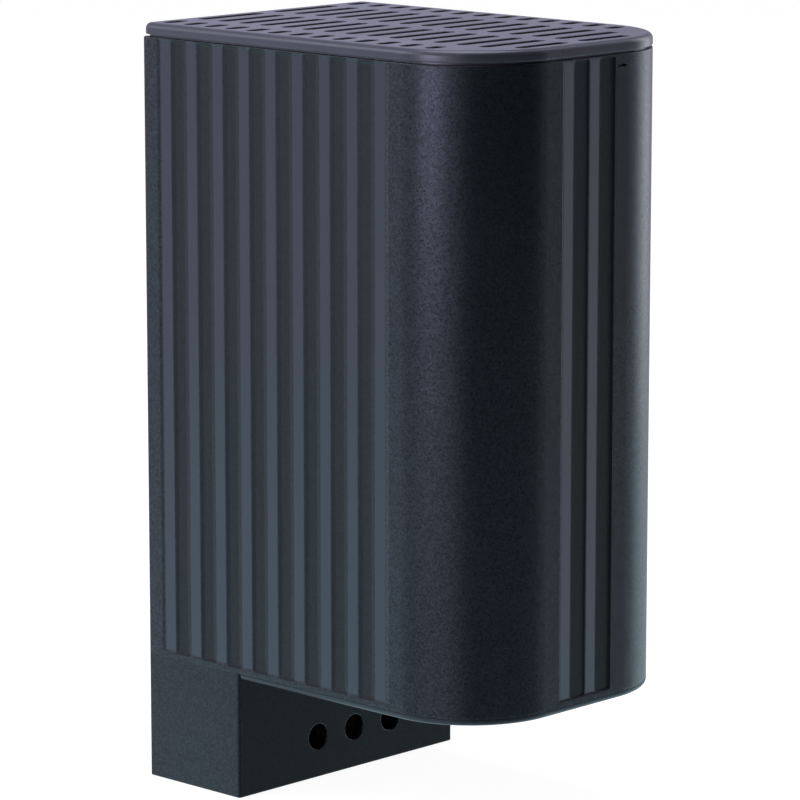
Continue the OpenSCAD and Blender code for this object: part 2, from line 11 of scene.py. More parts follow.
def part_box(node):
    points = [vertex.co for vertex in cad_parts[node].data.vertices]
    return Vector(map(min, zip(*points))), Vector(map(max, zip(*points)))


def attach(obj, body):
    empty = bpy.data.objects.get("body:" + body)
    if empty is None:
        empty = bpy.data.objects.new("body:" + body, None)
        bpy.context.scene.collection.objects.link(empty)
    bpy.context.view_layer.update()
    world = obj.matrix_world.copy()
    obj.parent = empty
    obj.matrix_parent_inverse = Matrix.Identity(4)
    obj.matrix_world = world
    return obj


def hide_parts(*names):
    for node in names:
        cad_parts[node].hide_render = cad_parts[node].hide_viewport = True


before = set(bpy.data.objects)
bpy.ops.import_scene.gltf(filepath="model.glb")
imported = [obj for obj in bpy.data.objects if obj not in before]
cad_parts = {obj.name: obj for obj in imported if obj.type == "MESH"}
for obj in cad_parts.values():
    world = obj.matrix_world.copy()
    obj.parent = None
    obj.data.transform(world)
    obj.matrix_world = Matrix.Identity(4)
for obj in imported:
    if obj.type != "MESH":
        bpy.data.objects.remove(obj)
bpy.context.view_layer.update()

bl_info = {
    "name": "Enclosure heater",
    "version": (1, 0, 0),
    "blender": (4, 5, 0),
    "location": "3D View > Sidebar > Heater",
    "description": "Dresses a rail-mounted enclosure heater in moulded plastic and metal",
    "category": "Object",
}

MM = 0.001
QUARTER = math.pi / 2

# Tolerances for places that are the same, decimals that places are rounded to, and weld distance
NEAR = 1e-8
DECIMALS = 7
MERGE = 0.001 * MM

# Points round a small upright edge, and rows over a small rounded rim
EDGE_TURN = 6
ROUND_ROWS = 5

# Colour of the black mouldings
BLACK = (0.0070, 0.0074, 0.0078)

# Units of the settings
LENGTH = {"unit": "LENGTH", "precision": 5}
COLOUR = {"subtype": "COLOR", "size": 3, "min": 0, "max": 1}

# Main planes of the casing, from the CAD solids
LOW, HIGH = (np.array(corner, float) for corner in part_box("housing"))
HALF = HIGH[0]
REAR, FRONT = HIGH[1], LOW[1]
BASE, SEAM = LOW[2], HIGH[2]
LID_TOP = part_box("top_grille")[1].z
RIM, UPSTAND = (corner.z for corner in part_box("bottom_grille"))
FLOOR_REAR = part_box("bottom_grille")[1].y
PROFILE_LOW, PROFILE_TOP = (corner.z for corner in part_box("heater_profile"))
CORE_Y = sum(corner.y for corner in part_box("heater_profile")) / 2

# Sizes of the casing that its solids share
CORNER_R = 19.7 * MM
EDGE_R = 0.6 * MM
WALL = 2.2 * MM
RIM_H = 1.2 * MM
DUCT = RIM + RIM_H
INNER = HALF - WALL
FOOT_FRONT = REAR - 25.8 * MM
FOOT_INNER = FOOT_FRONT + WALL
REAR_INNER = REAR - WALL
FIT_GAP = 0.15 * MM
SLIDE_GAP = 0.3 * MM
POLES = np.array([-8.59, 1.85, 12.29]) * MM
WIRE_Y = -14.3 * MM
CLIP_SCREW_X = (-8.0 * MM, 8.0 * MM)
CLIP_SCREW_Z = 6.0 * MM
SCREW_Z = BASE + 8.4 * MM
BEAD_PROUD = 0.35 * MM
BEAD_H = 1.0 * MM
LID_BEAD_Z = SEAM - 3.0 * MM
FLOOR_BEAD_Z = DUCT + 2.0 * MM
FLOOR_BEAD_Y = (FLOOR_REAR + FRONT + CORNER_R) / 2
COVER_BEAD_Z = BASE + 0.6 * MM
COVER_BEAD_Y = REAR - 12.9 * MM
LONG_BEAD = 24.0 * MM
SHORT_BEAD = 10.0 * MM
CATCH_SLIT = (8.3 * MM, 10.7 * MM, SEAM - 2.4 * MM, SEAM - 2.0 * MM)
CATCH_DEPTH = 0.6 * MM
CATCH_SOFT = 0.1 * MM

# Width of the steps at the rails and grooves of the inner walls
INNER_STEP = 0.06 * MM

# Zones of finish on the foot and in the grooves: grained at 0, dull at -1, duller below; the foot's front,
# the dullest, is painted shade: its low gloss stands for the shade under the duct's overhang
FOOT_ZONE = -0.4
SIDE_GROOVE_ZONE = -1.0
FRONT_GROOVE_ZONE = -1.4
# Painted shade: the foot's front gets the least gloss, standing for the shade under the duct's overhang
FOOT_FRONT_SHADE_ZONE = -1.7


class CasingSettings(bpy.types.PropertyGroup):
    """Sizes and colours of the moulded casing."""
    rib_width: FloatProperty(name="Rib width", description="Width of one smooth rib",
                             default=3.2 * MM, **LENGTH)
    rib_pitch: FloatProperty(name="Rib pitch", description="Distance between the middles of two ribs",
                             default=7.25 * MM, **LENGTH)
    first_rib: FloatProperty(name="First rib", description="Middle of the first rib, from the rear wall",
                             default=6.4 * MM, **LENGTH)
    front_panel: FloatProperty(name="Front panel", description="Sideways place of the front panel",
                               default=0.2 * MM, **LENGTH)
    panel_head: FloatProperty(name="Panel head", description="Plain lip above the panels",
                              default=0.4 * MM, **LENGTH)
    panel_foot: FloatProperty(name="Panel foot", description="Plain band below the panels",
                              default=1.3 * MM, **LENGTH)
    panel_depth: FloatProperty(name="Panel depth", description="Depth of the panels below the skin",
                               default=0.1 * MM, **LENGTH)
    groove_depth: FloatProperty(name="Groove depth", description="Depth of the grooves below the ribs",
                                default=0.2 * MM, **LENGTH)
    groove_round: FloatProperty(name="Groove round", description="Corner radius of the groove ends",
                                default=0.5 * MM, **LENGTH)
    edge_soft: FloatProperty(name="Edge softness", description="Width of the slope at a side groove's edge",
                             default=1.0 * MM, **LENGTH)
    front_edge: FloatProperty(name="Front edge softness",
                              description="Width of the slope at a front groove's edge",
                              default=0.15 * MM, **LENGTH)
    finish_soft: FloatProperty(name="Finish softness",
                               description="Width over which the finish changes at an edge",
                               default=0.4 * MM, **LENGTH)
    finish_margin: FloatProperty(name="Finish margin",
                                 description="Grained margin on both sides of a smooth rib",
                                 default=0.17 * MM, **LENGTH)
    grain: FloatProperty(name="Grain", description="Size of the spark grain on the skin",
                         default=0.2 * MM, **LENGTH)
    colour: FloatVectorProperty(name="Casing colour", description="Colour of the black moulding",
                                default=BLACK, **COLOUR)
    # Painted sheen: the smooth ribs' colour is lighter than the skin's, standing in for part of their gloss
    rib_sheen_colour: FloatVectorProperty(name="Rib colour", description="Colour of the smooth ribs",
                                    default=(0.0120, 0.0130, 0.0146), **COLOUR)


class GrilleSettings(bpy.types.PropertyGroup):
    """Sizes and colour of the vent lid and the vent floor."""
    slot_width: FloatProperty(name="Slot width", description="Width of one vent slot",
                              default=2.5 * MM, **LENGTH)
    slot_pitch: FloatProperty(name="Slot pitch", description="Distance between two rows of slots",
                              default=5.79 * MM, **LENGTH)
    slot_length: FloatProperty(name="Slot length", description="Length of a slot beside the middle web",
                               default=17.3 * MM, **LENGTH)
    slot_web: FloatProperty(name="Slot web", description="Web between two slots in a row",
                            default=3.7 * MM, **LENGTH)
    slot_round: FloatProperty(name="Slot round", description="Rounding of the slots' edges",
                              default=0.15 * MM, **LENGTH)
    lid_round: FloatProperty(name="Lid round", description="Rounding of the lid's top edge",
                             default=1.2 * MM, **LENGTH)
    lid_rear: FloatProperty(name="Lid rear radius", description="Radius of the lid's rear corners",
                            default=1.6 * MM, **LENGTH)
    colour: FloatVectorProperty(name="Lid colour", description="Colour of the vent lid",
                                default=(0.046, 0.047, 0.066), **COLOUR)


class StageSettings(bpy.types.PropertyGroup):
    """Floor, light and view."""
    floor: FloatVectorProperty(name="Floor colour", description="Colour of the pale floor",
                               default=(0.34, 0.34, 0.34), **COLOUR)
    ambient: FloatProperty(name="Ambient", description="Level of the even light from all round",
                           default=0.14)
    lens: FloatProperty(name="Lens", description="Focal length of the camera in millimetres",
                        default=196.25)


# Grids, caps and pieces

def merged(*places):
    """Sorted places without doubles."""
    return np.unique(np.round(np.concatenate(places), DECIMALS))


def both_ways(*offsets):
    """Offsets on both sides of an edge, given in millimetres, with the edge itself."""
    reach = np.array((0, *offsets)) * MM
    return np.union1d(-reach, reach)


def samples(edges, spread, low, high, gap, more=()):
    """Sorted places between low and high: every edge with its spread of offsets, and no step above gap."""
    places = np.concatenate([np.add.outer(np.asarray(edges), spread).ravel(), [low, high], more])
    places = merged(places[(places >= low - NEAR) & (places <= high + NEAR)])
    counts = np.ceil(np.diff(places) / gap).astype(int)
    fill = [np.linspace(a, b, count + 1)[1:-1] for a, b, count in zip(places, places[1:], counts)]
    return np.sort(np.concatenate([places] + fill))


def sheet(points, closed=False):
    """Patch of four-sided faces on a grid, rows by columns, joined round the columns if closed."""
    rows, cols = points.shape[:2]
    i, j = np.meshgrid(np.arange(rows - 1), np.arange(cols if closed else cols - 1), indexing="ij")
    k = (j + 1) % cols
    faces = np.stack([i * cols + j, i * cols + k, (i + 1) * cols + k, (i + 1) * cols + j], -1)
    return points.reshape(-1, 3), faces.reshape(-1, 4).tolist()


def left_turning(loop, keep):
    """Loop in the order that turns left, by the sign of its area."""
    u, v = loop[:, keep].T
    area = np.sum(u * np.roll(v, -1) - np.roll(u, -1) * v)
    return loop if area > 0 else loop[::-1]


def cap(loops, axis, inner=None):
    """Flat patch across one axis, inside the first loop and outside the others: a Delaunay triangulation
    that keeps every loop's edges, with any loose inner points."""
    keep = [k for k in range(3) if k != axis]
    loops = [left_turning(loop, keep) for loop in loops]
    points = np.concatenate(loops if inner is None else loops + [inner])
    ends = np.cumsum([0] + [len(loop) for loop in loops])
    rings = [list(range(a, b)) for a, b in zip(ends[:-1], ends[1:])]
    flat = [Vector(p) for p in (points[:, keep] / MM).tolist()]
    inside_only, weld = 1, 1e-7
    out, _, faces, _, _, owners = geometry.delaunay_2d_cdt(flat, [], rings, inside_only, weld)
    verts = np.full((len(out), 3), loops[0][0, axis])
    verts[:, keep] = np.array(out) * MM
    return verts, [face for face, owner in zip(faces, owners) if list(owner) == [0]]


def loop3(xy, z):
    """Loop of plan points at one height."""
    return np.column_stack([xy, np.full(len(xy), z)])


def at_y(loop, y):
    """Loop drawn in x and z, at one depth."""
    return np.column_stack([loop[:, 0], np.full(len(loop), y), loop[:, 1]])


def raised(xy, out, inset, z):
    """Plan carried up: each row is the plan at one height, set in against its outward normals."""
    points = np.empty((len(z), len(xy), 3))
    points[..., :2] = xy - inset[..., None] * out
    points[..., 2] = z[:, None]
    return points


def mirrored(points):
    """Grid mirrored in the middle plane."""
    return points * np.array([-1, 1, 1])


def with_mirror(line):
    """Closed loop of a line on one side and its mirror image on the other."""
    return np.concatenate([line, mirrored(line)[::-1]])


def rounded_rows(low, high, round_low, round_high, steps=ROUND_ROWS):
    """Heights and insets of a wall with quarter-circle edges: inset = r (1 - cos a) and
    height = r (1 - sin a) from the edge."""
    a = np.linspace(0, QUARTER, steps)
    z = np.concatenate([low + round_low * (1 - np.sin(a[::-1])), high - round_high * (1 - np.sin(a))])
    inset = np.concatenate([round_low * (1 - np.cos(a[::-1])), round_high * (1 - np.cos(a))])
    return z, inset


def wall(loop_at, z, inset):
    """Closed wall: each row is the loop at that row's inset and height."""
    return np.stack([loop3(loop_at(i), h) for h, i in zip(z, inset)])


def plate(loop_at, holes, low, high, round_low, round_high, hole_round):
    """Plate with rounded edges and rounded holes between two heights: a wall along each loop, two caps."""
    z, inset = rounded_rows(low, high, round_low, round_high)
    rim = wall(loop_at, z, inset)
    z, inset = rounded_rows(low, high, hole_round, hole_round, 4)
    rings = [wall(hole, z, inset) for hole in holes]
    patches = [sheet(rows, True) for rows in [rim] + rings]
    patches += [cap([rim[row]] + [ring[row] for ring in rings], 2) for row in (0, -1)]
    return patches


def circle(x, y, r, count=48):
    """Round hole as a loop that grows with its inset: centre + (r + inset) (cos, sin)."""
    a = np.arange(count) * 2 * math.pi / count
    return lambda inset: np.column_stack([x + (r + inset) * np.cos(a), y + (r + inset) * np.sin(a)])


def stadium(x0, x1, y, width, turn=9):
    """Slot with half-round ends as a loop that grows with its inset."""
    a = np.linspace(-QUARTER, QUARTER, turn)

    def loop_at(inset):
        r = width / 2 + inset
        right = np.column_stack([x1 - width / 2 + r * np.cos(a), y + r * np.sin(a)])
        left = np.column_stack([x0 + width / 2 - r * np.cos(a), y - r * np.sin(a)])
        return np.concatenate([right, left])
    return loop_at


def rectangle(x0, x1, y0, y1, r, turn=5):
    """Rectangle with round corners as a loop that shrinks with its inset, keeping the corners' centres."""
    a = np.linspace(0, QUARTER, turn)
    least = 0.02 * MM
    centres = [(x1 - r, y1 - r), (x0 + r, y1 - r), (x0 + r, y0 + r), (x1 - r, y0 + r)]

    def loop_at(inset):
        q = max(r - inset, least)
        corners = []
        for k, (x, y) in enumerate(centres):
            b = a + k * QUARTER
            corners.append(np.column_stack([x + q * np.cos(b), y + q * np.sin(b)]))
        return np.concatenate(corners)
    return loop_at


def brick(lo, hi, r):
    """Block between two corners with its edges rounded by r, and by a little less above and below."""
    level_r = 0.9 * r
    return plate(rectangle(lo[0], hi[0], lo[1], hi[1], r), [], lo[2], hi[2], level_r, level_r, 0)


def eased(corners, r, steps=4):
    """Closed outline with eased corners: each corner c becomes the curve
    (1 - t)^2 a + 2 t (1 - t) c + t^2 b between the points a and b at a distance r before and after it."""
    c = np.asarray(corners, float)
    back, ahead = np.roll(c, 1, 0) - c, np.roll(c, -1, 0) - c
    a = c + r * back / np.linalg.norm(back, axis=1)[:, None]
    b = c + r * ahead / np.linalg.norm(ahead, axis=1)[:, None]
    t = np.linspace(0, 1, steps)[None, :, None]
    return ((1 - t) ** 2 * a[:, None] + 2 * t * (1 - t) * c[:, None] + t * t * b[:, None]).reshape(-1, 2)


def refined(loop, longest):
    """Closed loop with extra points, so that no edge is longer than a given length."""
    parts = []
    for a, b in zip(loop, np.roll(loop, -1, 0)):
        count = max(1, int(np.ceil(np.linalg.norm(b - a) / longest)))
        parts.append(a + (b - a) * np.arange(count)[:, None] / count)
    return np.concatenate(parts)


def slab(place, outline, start, end, holes=()):
    """Flat outline with holes, carried straight from one level to another: place(loop, level) sets a loop
    in space."""
    rows = [np.stack([place(loop, start), place(loop, end)]) for loop in (outline, *holes)]
    axis = int(np.argmax(np.ptp(rows[0][:, 0], axis=0)))
    return [sheet(row, True) for row in rows] + [cap([row[k] for row in rows], axis) for k in (0, 1)]


def make_piece(name, patches, node, finish, tags=None, crease=38):
    """Joins patches into one closed mesh that stands for a CAD node, with an even, part-sharp shading."""
    verts = np.concatenate([patch[0] for patch in patches])
    starts = np.cumsum([0] + [len(patch[0]) for patch in patches])
    faces = [[start + k for k in face] for start, patch in zip(starts, patches) for face in patch[1]]
    mesh = bpy.data.meshes.new(name)
    mesh.from_pydata(verts.tolist(), [], faces)
    if tags is not None:
        layer = mesh.attributes.new("rib", "FLOAT", "FACE")
        layer.data.foreach_set("value", [float(np.mean(tags[face])) for face in faces])
    work = bmesh.new()
    work.from_mesh(mesh)
    bmesh.ops.remove_doubles(work, verts=work.verts, dist=MERGE)
    bmesh.ops.dissolve_degenerate(work, edges=work.edges, dist=MERGE / 2)
    bmesh.ops.recalc_face_normals(work, faces=work.faces)
    open_edges = sum(not edge.is_manifold for edge in work.edges)
    work.to_mesh(mesh)
    work.free()
    if open_edges:
        raise RuntimeError("%s has %d open edges" % (name, open_edges))
    mesh.shade_smooth()
    mesh.set_sharp_from_angle(angle=math.radians(crease))
    piece = bpy.data.objects.new(name, mesh)
    bpy.context.scene.collection.objects.link(piece)
    even = piece.modifiers.new("Even shading", "WEIGHTED_NORMAL")
    even.keep_sharp = True
    mesh.materials.append(finish)
    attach(piece, "root")
    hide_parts(node)
    return piece


# Finishes

def add(tree, kind, values=None, **settings):
    """New node in a tree, with its settings, values and links."""
    node = tree.nodes.new(kind)
    for key, value in settings.items():
        setattr(node, key, value)
    for key, value in (values or {}).items():
        if isinstance(value, bpy.types.NodeSocket):
            tree.links.new(value, node.inputs[key])
        else:
            node.inputs[key].default_value = value
    return node


def new_finish(name):
    """Empty material with its tree and the object's own coordinates."""
    material = bpy.data.materials.new(name)
    material.use_nodes = True
    tree = material.node_tree
    tree.nodes.clear()
    return material, tree, add(tree, "ShaderNodeTexCoord").outputs["Object"]


def spread_of(tree, value, low, high, start=0.3, end=0.7):
    """A noise value stretched to a range."""
    return add(tree, "ShaderNodeMapRange", {"Value": value, "From Min": start, "From Max": end,
                                            "To Min": low, "To Max": high}).outputs["Result"]


def shades(tree, value, dark, light):
    """A colour between two shades."""
    mix = add(tree, "ShaderNodeMix", {"Factor": value}, data_type="RGBA")
    mix.inputs[6].default_value = (*dark, 1)
    mix.inputs[7].default_value = (*light, 1)
    return mix.outputs[2]


def close(tree, values):
    """Ends a tree in its main shader."""
    shader = add(tree, "ShaderNodeBsdfPrincipled", values)
    add(tree, "ShaderNodeOutputMaterial", {"Surface": shader.outputs["BSDF"]})


def noise(tree, place, size, detail=3.0, rough=0.55):
    """Noise with features of about one size."""
    return add(tree, "ShaderNodeTexNoise", {"Vector": place, "Scale": 1 / size, "Detail": detail,
                                            "Roughness": rough}).outputs["Fac"]


def tinted(colour, share):
    """A colour made darker or lighter by a share."""
    return tuple(min(1, channel * share) for channel in colour)


def blended(tree, factor, first, second):
    """A number between two others, each a constant or a socket."""
    mix = add(tree, "ShaderNodeMix", {"Factor": factor, 2: first, 3: second}, data_type="FLOAT")
    return mix.outputs[0]


# Tints of the gloss on black, grey and other mouldings
COOL = (0.60, 0.74, 1.0, 1)
PALE_COOL = (0.72, 0.78, 1.0, 1)
WHITE = (1, 1, 1, 1)


def moulded_black(casing):
    """Black moulding whose tag gives the zone: smooth ribs at 1, grained skin at 0, dull grooves at -1 and
    duller faces below, the foot's front the dullest as painted shade under the duct's overhang. Small cells
    break up the gloss, strongly on the skin and calmly in the grooves."""
    material, tree, place = new_finish("moulded_black")
    zone = add(tree, "ShaderNodeAttribute", attribute_name="rib").outputs["Fac"]
    rib = spread_of(tree, zone, 0, 1, 0, 1)
    groove = spread_of(tree, zone, 1, 0, -1, 0)
    cloud_size, cell, dullest = 22 * MM, 1.6 * casing.grain, -2
    cloud = noise(tree, place, cloud_size, 4)
    grain = noise(tree, place, casing.grain, 4, 0.8)
    cells = add(tree, "ShaderNodeTexVoronoi", {"Vector": place, "Scale": 1 / cell}).outputs["Color"]
    strong = spread_of(tree, cells, 0.65, 1.35, 0.15, 0.85)
    calm = spread_of(tree, cells, 0.82, 1.18, 0.15, 0.85)
    # Gloss falls with the zone, down to the painted shade of the foot's front under the overhang
    gloss = spread_of(tree, zone, 0.16, 0.42, dullest, 0)
    shine = add(tree, "ShaderNodeMath", {0: gloss, 1: blended(tree, groove, strong, calm)},
                operation="MULTIPLY")
    dark, light = tinted(casing.colour, 0.85), tinted(casing.colour, 1.15)
    skin = shades(tree, spread_of(tree, cloud, 0, 1), dark, light)
    # Painted sheen on the ribs: their lighter colour stands in for part of their gloss
    colour = add(tree, "ShaderNodeMix", {"Factor": rib, 6: skin, 7: (*casing.rib_sheen_colour, 1)},
                 data_type="RGBA")
    plain = blended(tree, groove, spread_of(tree, cloud, 0.25, 0.29), 0.44)
    bump = add(tree, "ShaderNodeBump", {"Height": grain, "Strength": blended(tree, rib, 0.85, 0.08),
                                        "Distance": 0.03 * MM})
    close(tree, {"Base Color": colour.outputs[2], "Roughness": blended(tree, rib, plain, 0.15),
                 "Specular IOR Level": blended(tree, rib, shine.outputs[0], 0.7), "Specular Tint": COOL,
                 "Normal": bump.outputs["Normal"]})
    return material


def moulded_plain(name, colour, rough, grain, depth=0.4, tint=WHITE, shine=0.5):
    """Plain moulding with a fine grain."""
    material, tree, place = new_finish(name)
    cloud = noise(tree, place, 18 * MM, 4)
    skin = shades(tree, spread_of(tree, cloud, 0, 1), tinted(colour, 0.88), tinted(colour, 1.12))
    bump = add(tree, "ShaderNodeBump", {"Height": noise(tree, place, grain, 2, 0.5), "Strength": depth,
                                        "Distance": 0.04 * MM})
    close(tree, {"Base Color": skin, "Roughness": spread_of(tree, cloud, rough - 0.04, rough + 0.04),
                 "Specular IOR Level": shine, "Specular Tint": tint, "Normal": bump.outputs["Normal"]})
    return material


def drawn_metal(name, colour, rough, stretch, size):
    """Metal with fine lines along one axis: noise stretched along it."""
    material, tree, place = new_finish(name)
    lines = add(tree, "ShaderNodeMapping", {"Vector": place, "Scale": stretch}).outputs["Vector"]
    streak = noise(tree, lines, size, 3)
    cloud = noise(tree, place, 12 * MM, 4)
    tone = shades(tree, spread_of(tree, cloud, 0, 1), tinted(colour, 0.86), tinted(colour, 1.06))
    bump = add(tree, "ShaderNodeBump", {"Height": streak, "Strength": 0.25, "Distance": 0.02 * MM})
    close(tree, {"Base Color": tone, "Metallic": 1.0, "Normal": bump.outputs["Normal"],
                 "Roughness": spread_of(tree, streak, rough - 0.07, rough + 0.07)})
    return material


ALLOY = (0.78, 0.79, 0.80)
BRASS = (0.75, 0.62, 0.35)
STEEL = (0.62, 0.63, 0.65)
DARK_STEEL = (0.42, 0.43, 0.46)

# Shared finishes: how each is made, with its values
STOCK = {
    "plain_black": (moulded_plain, (BLACK, 0.42, 0.3 * MM, 0.4, COOL)),
    "extruded_alloy": (drawn_metal, (ALLOY, 0.36, (1, 1, 0.05), 0.5 * MM)),
    "plain_brass": (drawn_metal, (BRASS, 0.32, (1, 1, 0.2), 0.4 * MM)),
    "plated_steel": (drawn_metal, (STEEL, 0.30, (1, 1, 0.12), 0.4 * MM)),
    "screw_steel": (drawn_metal, (DARK_STEEL, 0.24, (1, 0.2, 1), 0.3 * MM)),
    "terminal_black": (moulded_plain, ((0.03, 0.03, 0.032), 0.5, 0.5 * MM, 0.2)),
    "ceramic_grey": (moulded_plain, ((0.32, 0.32, 0.33), 0.7, 0.2 * MM)),
    "amber_film": (moulded_plain, ((0.60, 0.30, 0.05), 0.25, 1 * MM, 0.1)),
    "lead_brown": (moulded_plain, ((0.25, 0.11, 0.05), 0.5, 0.4 * MM, 0.2)),
    "lead_blue": (moulded_plain, ((0.08, 0.20, 0.50), 0.5, 0.4 * MM, 0.2)),
    "lead_green": (moulded_plain, ((0.35, 0.55, 0.08), 0.5, 0.4 * MM, 0.2)),
}


def stock(name):
    """Shared finish by name, made when it is first needed."""
    made = bpy.data.materials.get(name)
    if made:
        return made
    kind, values = STOCK[name]
    return kind(name, *values)


# Plan of the casing

def d_plan(inset, edge, sides=None, fronts=None, turn=40):
    """D-shaped loop set in by a margin, from the rear of the left side round the front to the rear of the
    right side: straight sides at x = -h and h, quarter circles of radius R - inset, a straight front and
    small rear corners. Returns points, outward normals, the place along each straight (y on the sides, x
    round the front) and the side each point is on: -1 left, 0 front and its corners, 1 right, 2 rear
    corners."""
    half, rear, front, r = HALF - inset, REAR - inset, FRONT + inset, CORNER_R - inset
    start, flat = FRONT + CORNER_R, HALF - CORNER_R
    sides = np.array([rear - edge, start]) if sides is None else sides
    fronts = np.array([-flat, flat]) if fronts is None else fronts
    fine = np.array([0.05, 0.1, 0.2, 0.4]) * MM / CORNER_R
    a = np.unique(np.concatenate([np.linspace(0, QUARTER, turn), QUARTER - fine]))
    b = np.linspace(0, QUARTER, EDGE_TURN) if edge > 0 else np.zeros(1)
    inner_sides, inner_fronts = sides[1:-1], fronts[1:-1]
    rear_left = np.column_stack([-np.sin(b), np.cos(b)])
    corner_left = np.column_stack([-np.cos(a), -np.sin(a)])
    parts = [
        (np.array([-half + edge, rear - edge]) + edge * rear_left, rear_left, 0 * b, 2),
        (np.column_stack([0 * inner_sides - half, inner_sides]), None, inner_sides, -1),
        (np.array([-flat, start]) + r * corner_left, corner_left, -flat - CORNER_R * (QUARTER - a), 0),
        (np.column_stack([inner_fronts, 0 * inner_fronts + front]), None, inner_fronts, 0),
    ]
    flip = np.array([-1, 1])
    for points, normals, place, side in [parts[2], parts[1], parts[0]]:
        normals = None if normals is None else normals[::-1] * flip
        place = place[::-1] * (-1 if side == 0 else 1)
        parts.append((points[::-1] * flip, normals, place, abs(side)))
    plain = {-1: (-1, 0), 0: (0, -1), 1: (1, 0)}
    xy = np.concatenate([part[0] for part in parts])
    out = np.concatenate([np.tile(plain[side], (len(points), 1)) if normals is None else normals
                          for points, normals, _, side in parts])
    place = np.concatenate([part[2] for part in parts])
    side = np.concatenate([np.full(len(part[0]), part[3]) for part in parts])
    return xy, out, place, side


def step(distance, soft):
    """1 inside an edge and 0 outside, with the slope 3t^2 - 2t^3 over a soft width."""
    t = np.clip(0.5 - distance / soft, 0, 1)
    return t * t * (3 - 2 * t)


def box_distance(u, z, box, r):
    """Signed distance to a rectangle (u0, u1, z0, z1) with corners of radius r."""
    du = np.abs(u - (box[0] + box[1]) / 2) - (box[1] - box[0]) / 2 + r
    dz = np.abs(z - (box[2] + box[3]) / 2) - (box[3] - box[2]) / 2 + r
    return np.hypot(np.maximum(du, 0), np.maximum(dz, 0)) + np.minimum(np.maximum(du, dz), 0) - r


def panel_boxes(casing):
    """Sunk field and grooves of the side panels (along y) and of the front panel (along x)."""
    low, high = DUCT + casing.panel_foot, SEAM - casing.panel_head
    groove = casing.rib_pitch - casing.rib_width
    ribs = int((-FRONT + REAR - CORNER_R - casing.first_rib - casing.rib_width / 2) / casing.rib_pitch) + 1
    first = REAR - casing.first_rib + casing.rib_width / 2
    starts = first - casing.rib_width - np.arange(ribs - 1) * casing.rib_pitch
    side_grooves = [(y - groove, y, low, high) for y in starts]
    side_field = (starts[-1] - groove - casing.rib_width, first, low, high)
    left = casing.front_panel - casing.rib_pitch
    front_grooves = [(x - groove, x, low, high) for x in (casing.front_panel, left + 2 * casing.rib_pitch)]
    front_field = (left, left + 2 * casing.rib_pitch, low, high)
    return (side_field, side_grooves), (front_field, front_grooves)


def span_distance(u, low, high):
    """Signed distance along one axis to the ends of a span."""
    return np.abs(u - (low + high) / 2) - (high - low) / 2


def panel_relief(casing, u, z, panel, soft, dull):
    """Depth below the skin and zone: the field's step and one more step in each groove, with the slopes
    beside the flat ribs. The zone is 0 on the plain skin, 1 on a smooth rib and dull, below 0, in a
    groove."""
    field, grooves = panel
    beside = 0.4 * soft
    to_groove = np.min([box_distance(u, z, groove, casing.groove_round) for groove in grooves], axis=0)
    across = step(span_distance(u, *field[:2]) - beside, soft)
    along = step(span_distance(z, *field[2:]), casing.finish_soft)
    depth = casing.panel_depth * across * along
    depth = depth + casing.groove_depth * step(to_groove + beside, soft)
    to_field = box_distance(u, z, field, casing.groove_round)
    smooth = step(to_field + casing.finish_margin, casing.finish_soft)
    return depth, smooth - (1 - dull) * step(to_groove - casing.finish_margin, casing.finish_soft)


def panel_edges(panel):
    """Places of a panel's upright edges."""
    field, grooves = panel
    return np.ravel([box[:2] for box in (*grooves, field)])


def outer_skin(casing):
    """Skin of the duct: the D plan carried up, set in by the panels' relief and by small rounds at both
    ends. Returns its grid, its zones and the number of rows below the top round."""
    side_panel, front_panel = panel_boxes(casing)
    wide = both_ways(0.1, 0.25, 0.4, 0.6, 0.8, 1)
    crisp = both_ways(0.05, 0.1, 0.15, 0.25, 0.4, 0.6)
    slit_spread = both_ways(0.05)
    front_end, flat = FRONT + CORNER_R, HALF - CORNER_R
    sides = samples(panel_edges(side_panel), wide, front_end, REAR - EDGE_R, 4 * MM)
    sides = merged(sides, [FOOT_FRONT + EDGE_R, FOOT_FRONT, FLOOR_REAR])[::-1]
    fronts = samples(panel_edges(front_panel), crisp, -flat, flat, 3 * MM)
    fronts = samples(CATCH_SLIT[:2], slit_spread, -flat, flat, 3 * MM, fronts)
    xy, out, place, side = d_plan(0, EDGE_R, sides, fronts)
    foot_round, top_round = 0.15 * MM, 0.3 * MM
    low, high = DUCT + foot_round, SEAM - top_round
    mid = samples(side_panel[0][2:], crisp, low, high, 9 * MM)
    mid = samples(CATCH_SLIT[2:], slit_spread, low, high, 9 * MM, mid)
    a = np.linspace(0, QUARTER, ROUND_ROWS)[1:]
    low_z, top_z = DUCT + foot_round * (1 - np.sin(a[::-1])), SEAM - top_round * (1 - np.sin(a))
    z = np.concatenate([low_z, mid, top_z])
    low_in = np.concatenate([foot_round * (1 - np.cos(a[::-1])), 0 * mid, 0 * a])
    top_in = np.concatenate([0 * a, 0 * mid, top_round * (1 - np.cos(a))])
    flank, front = np.abs(side) == 1, side == 0
    ahead = np.clip((FOOT_FRONT - xy[:, 1]) / (FOOT_FRONT - FLOOR_REAR), 0, 1)
    free = np.where(flank, ahead, front)
    relief, zone = np.zeros((2, len(z), len(xy)))
    for mask, panel, soft, dull in ((flank, side_panel, casing.edge_soft, SIDE_GROOVE_ZONE),
                                    (front, front_panel, casing.front_edge, FRONT_GROOVE_ZONE)):
        u = place[None, mask]
        relief[:, mask], zone[:, mask] = panel_relief(casing, u, z[:, None], panel, soft, dull)
    slit = step(box_distance(place[None, front], z[:, None], CATCH_SLIT, CATCH_SOFT), CATCH_SOFT)
    relief[:, front] += CATCH_DEPTH * slit
    inset = relief + top_in[:, None] + low_in[:, None] * free
    return raised(xy, out, inset, z), zone, len(mid) + len(a)


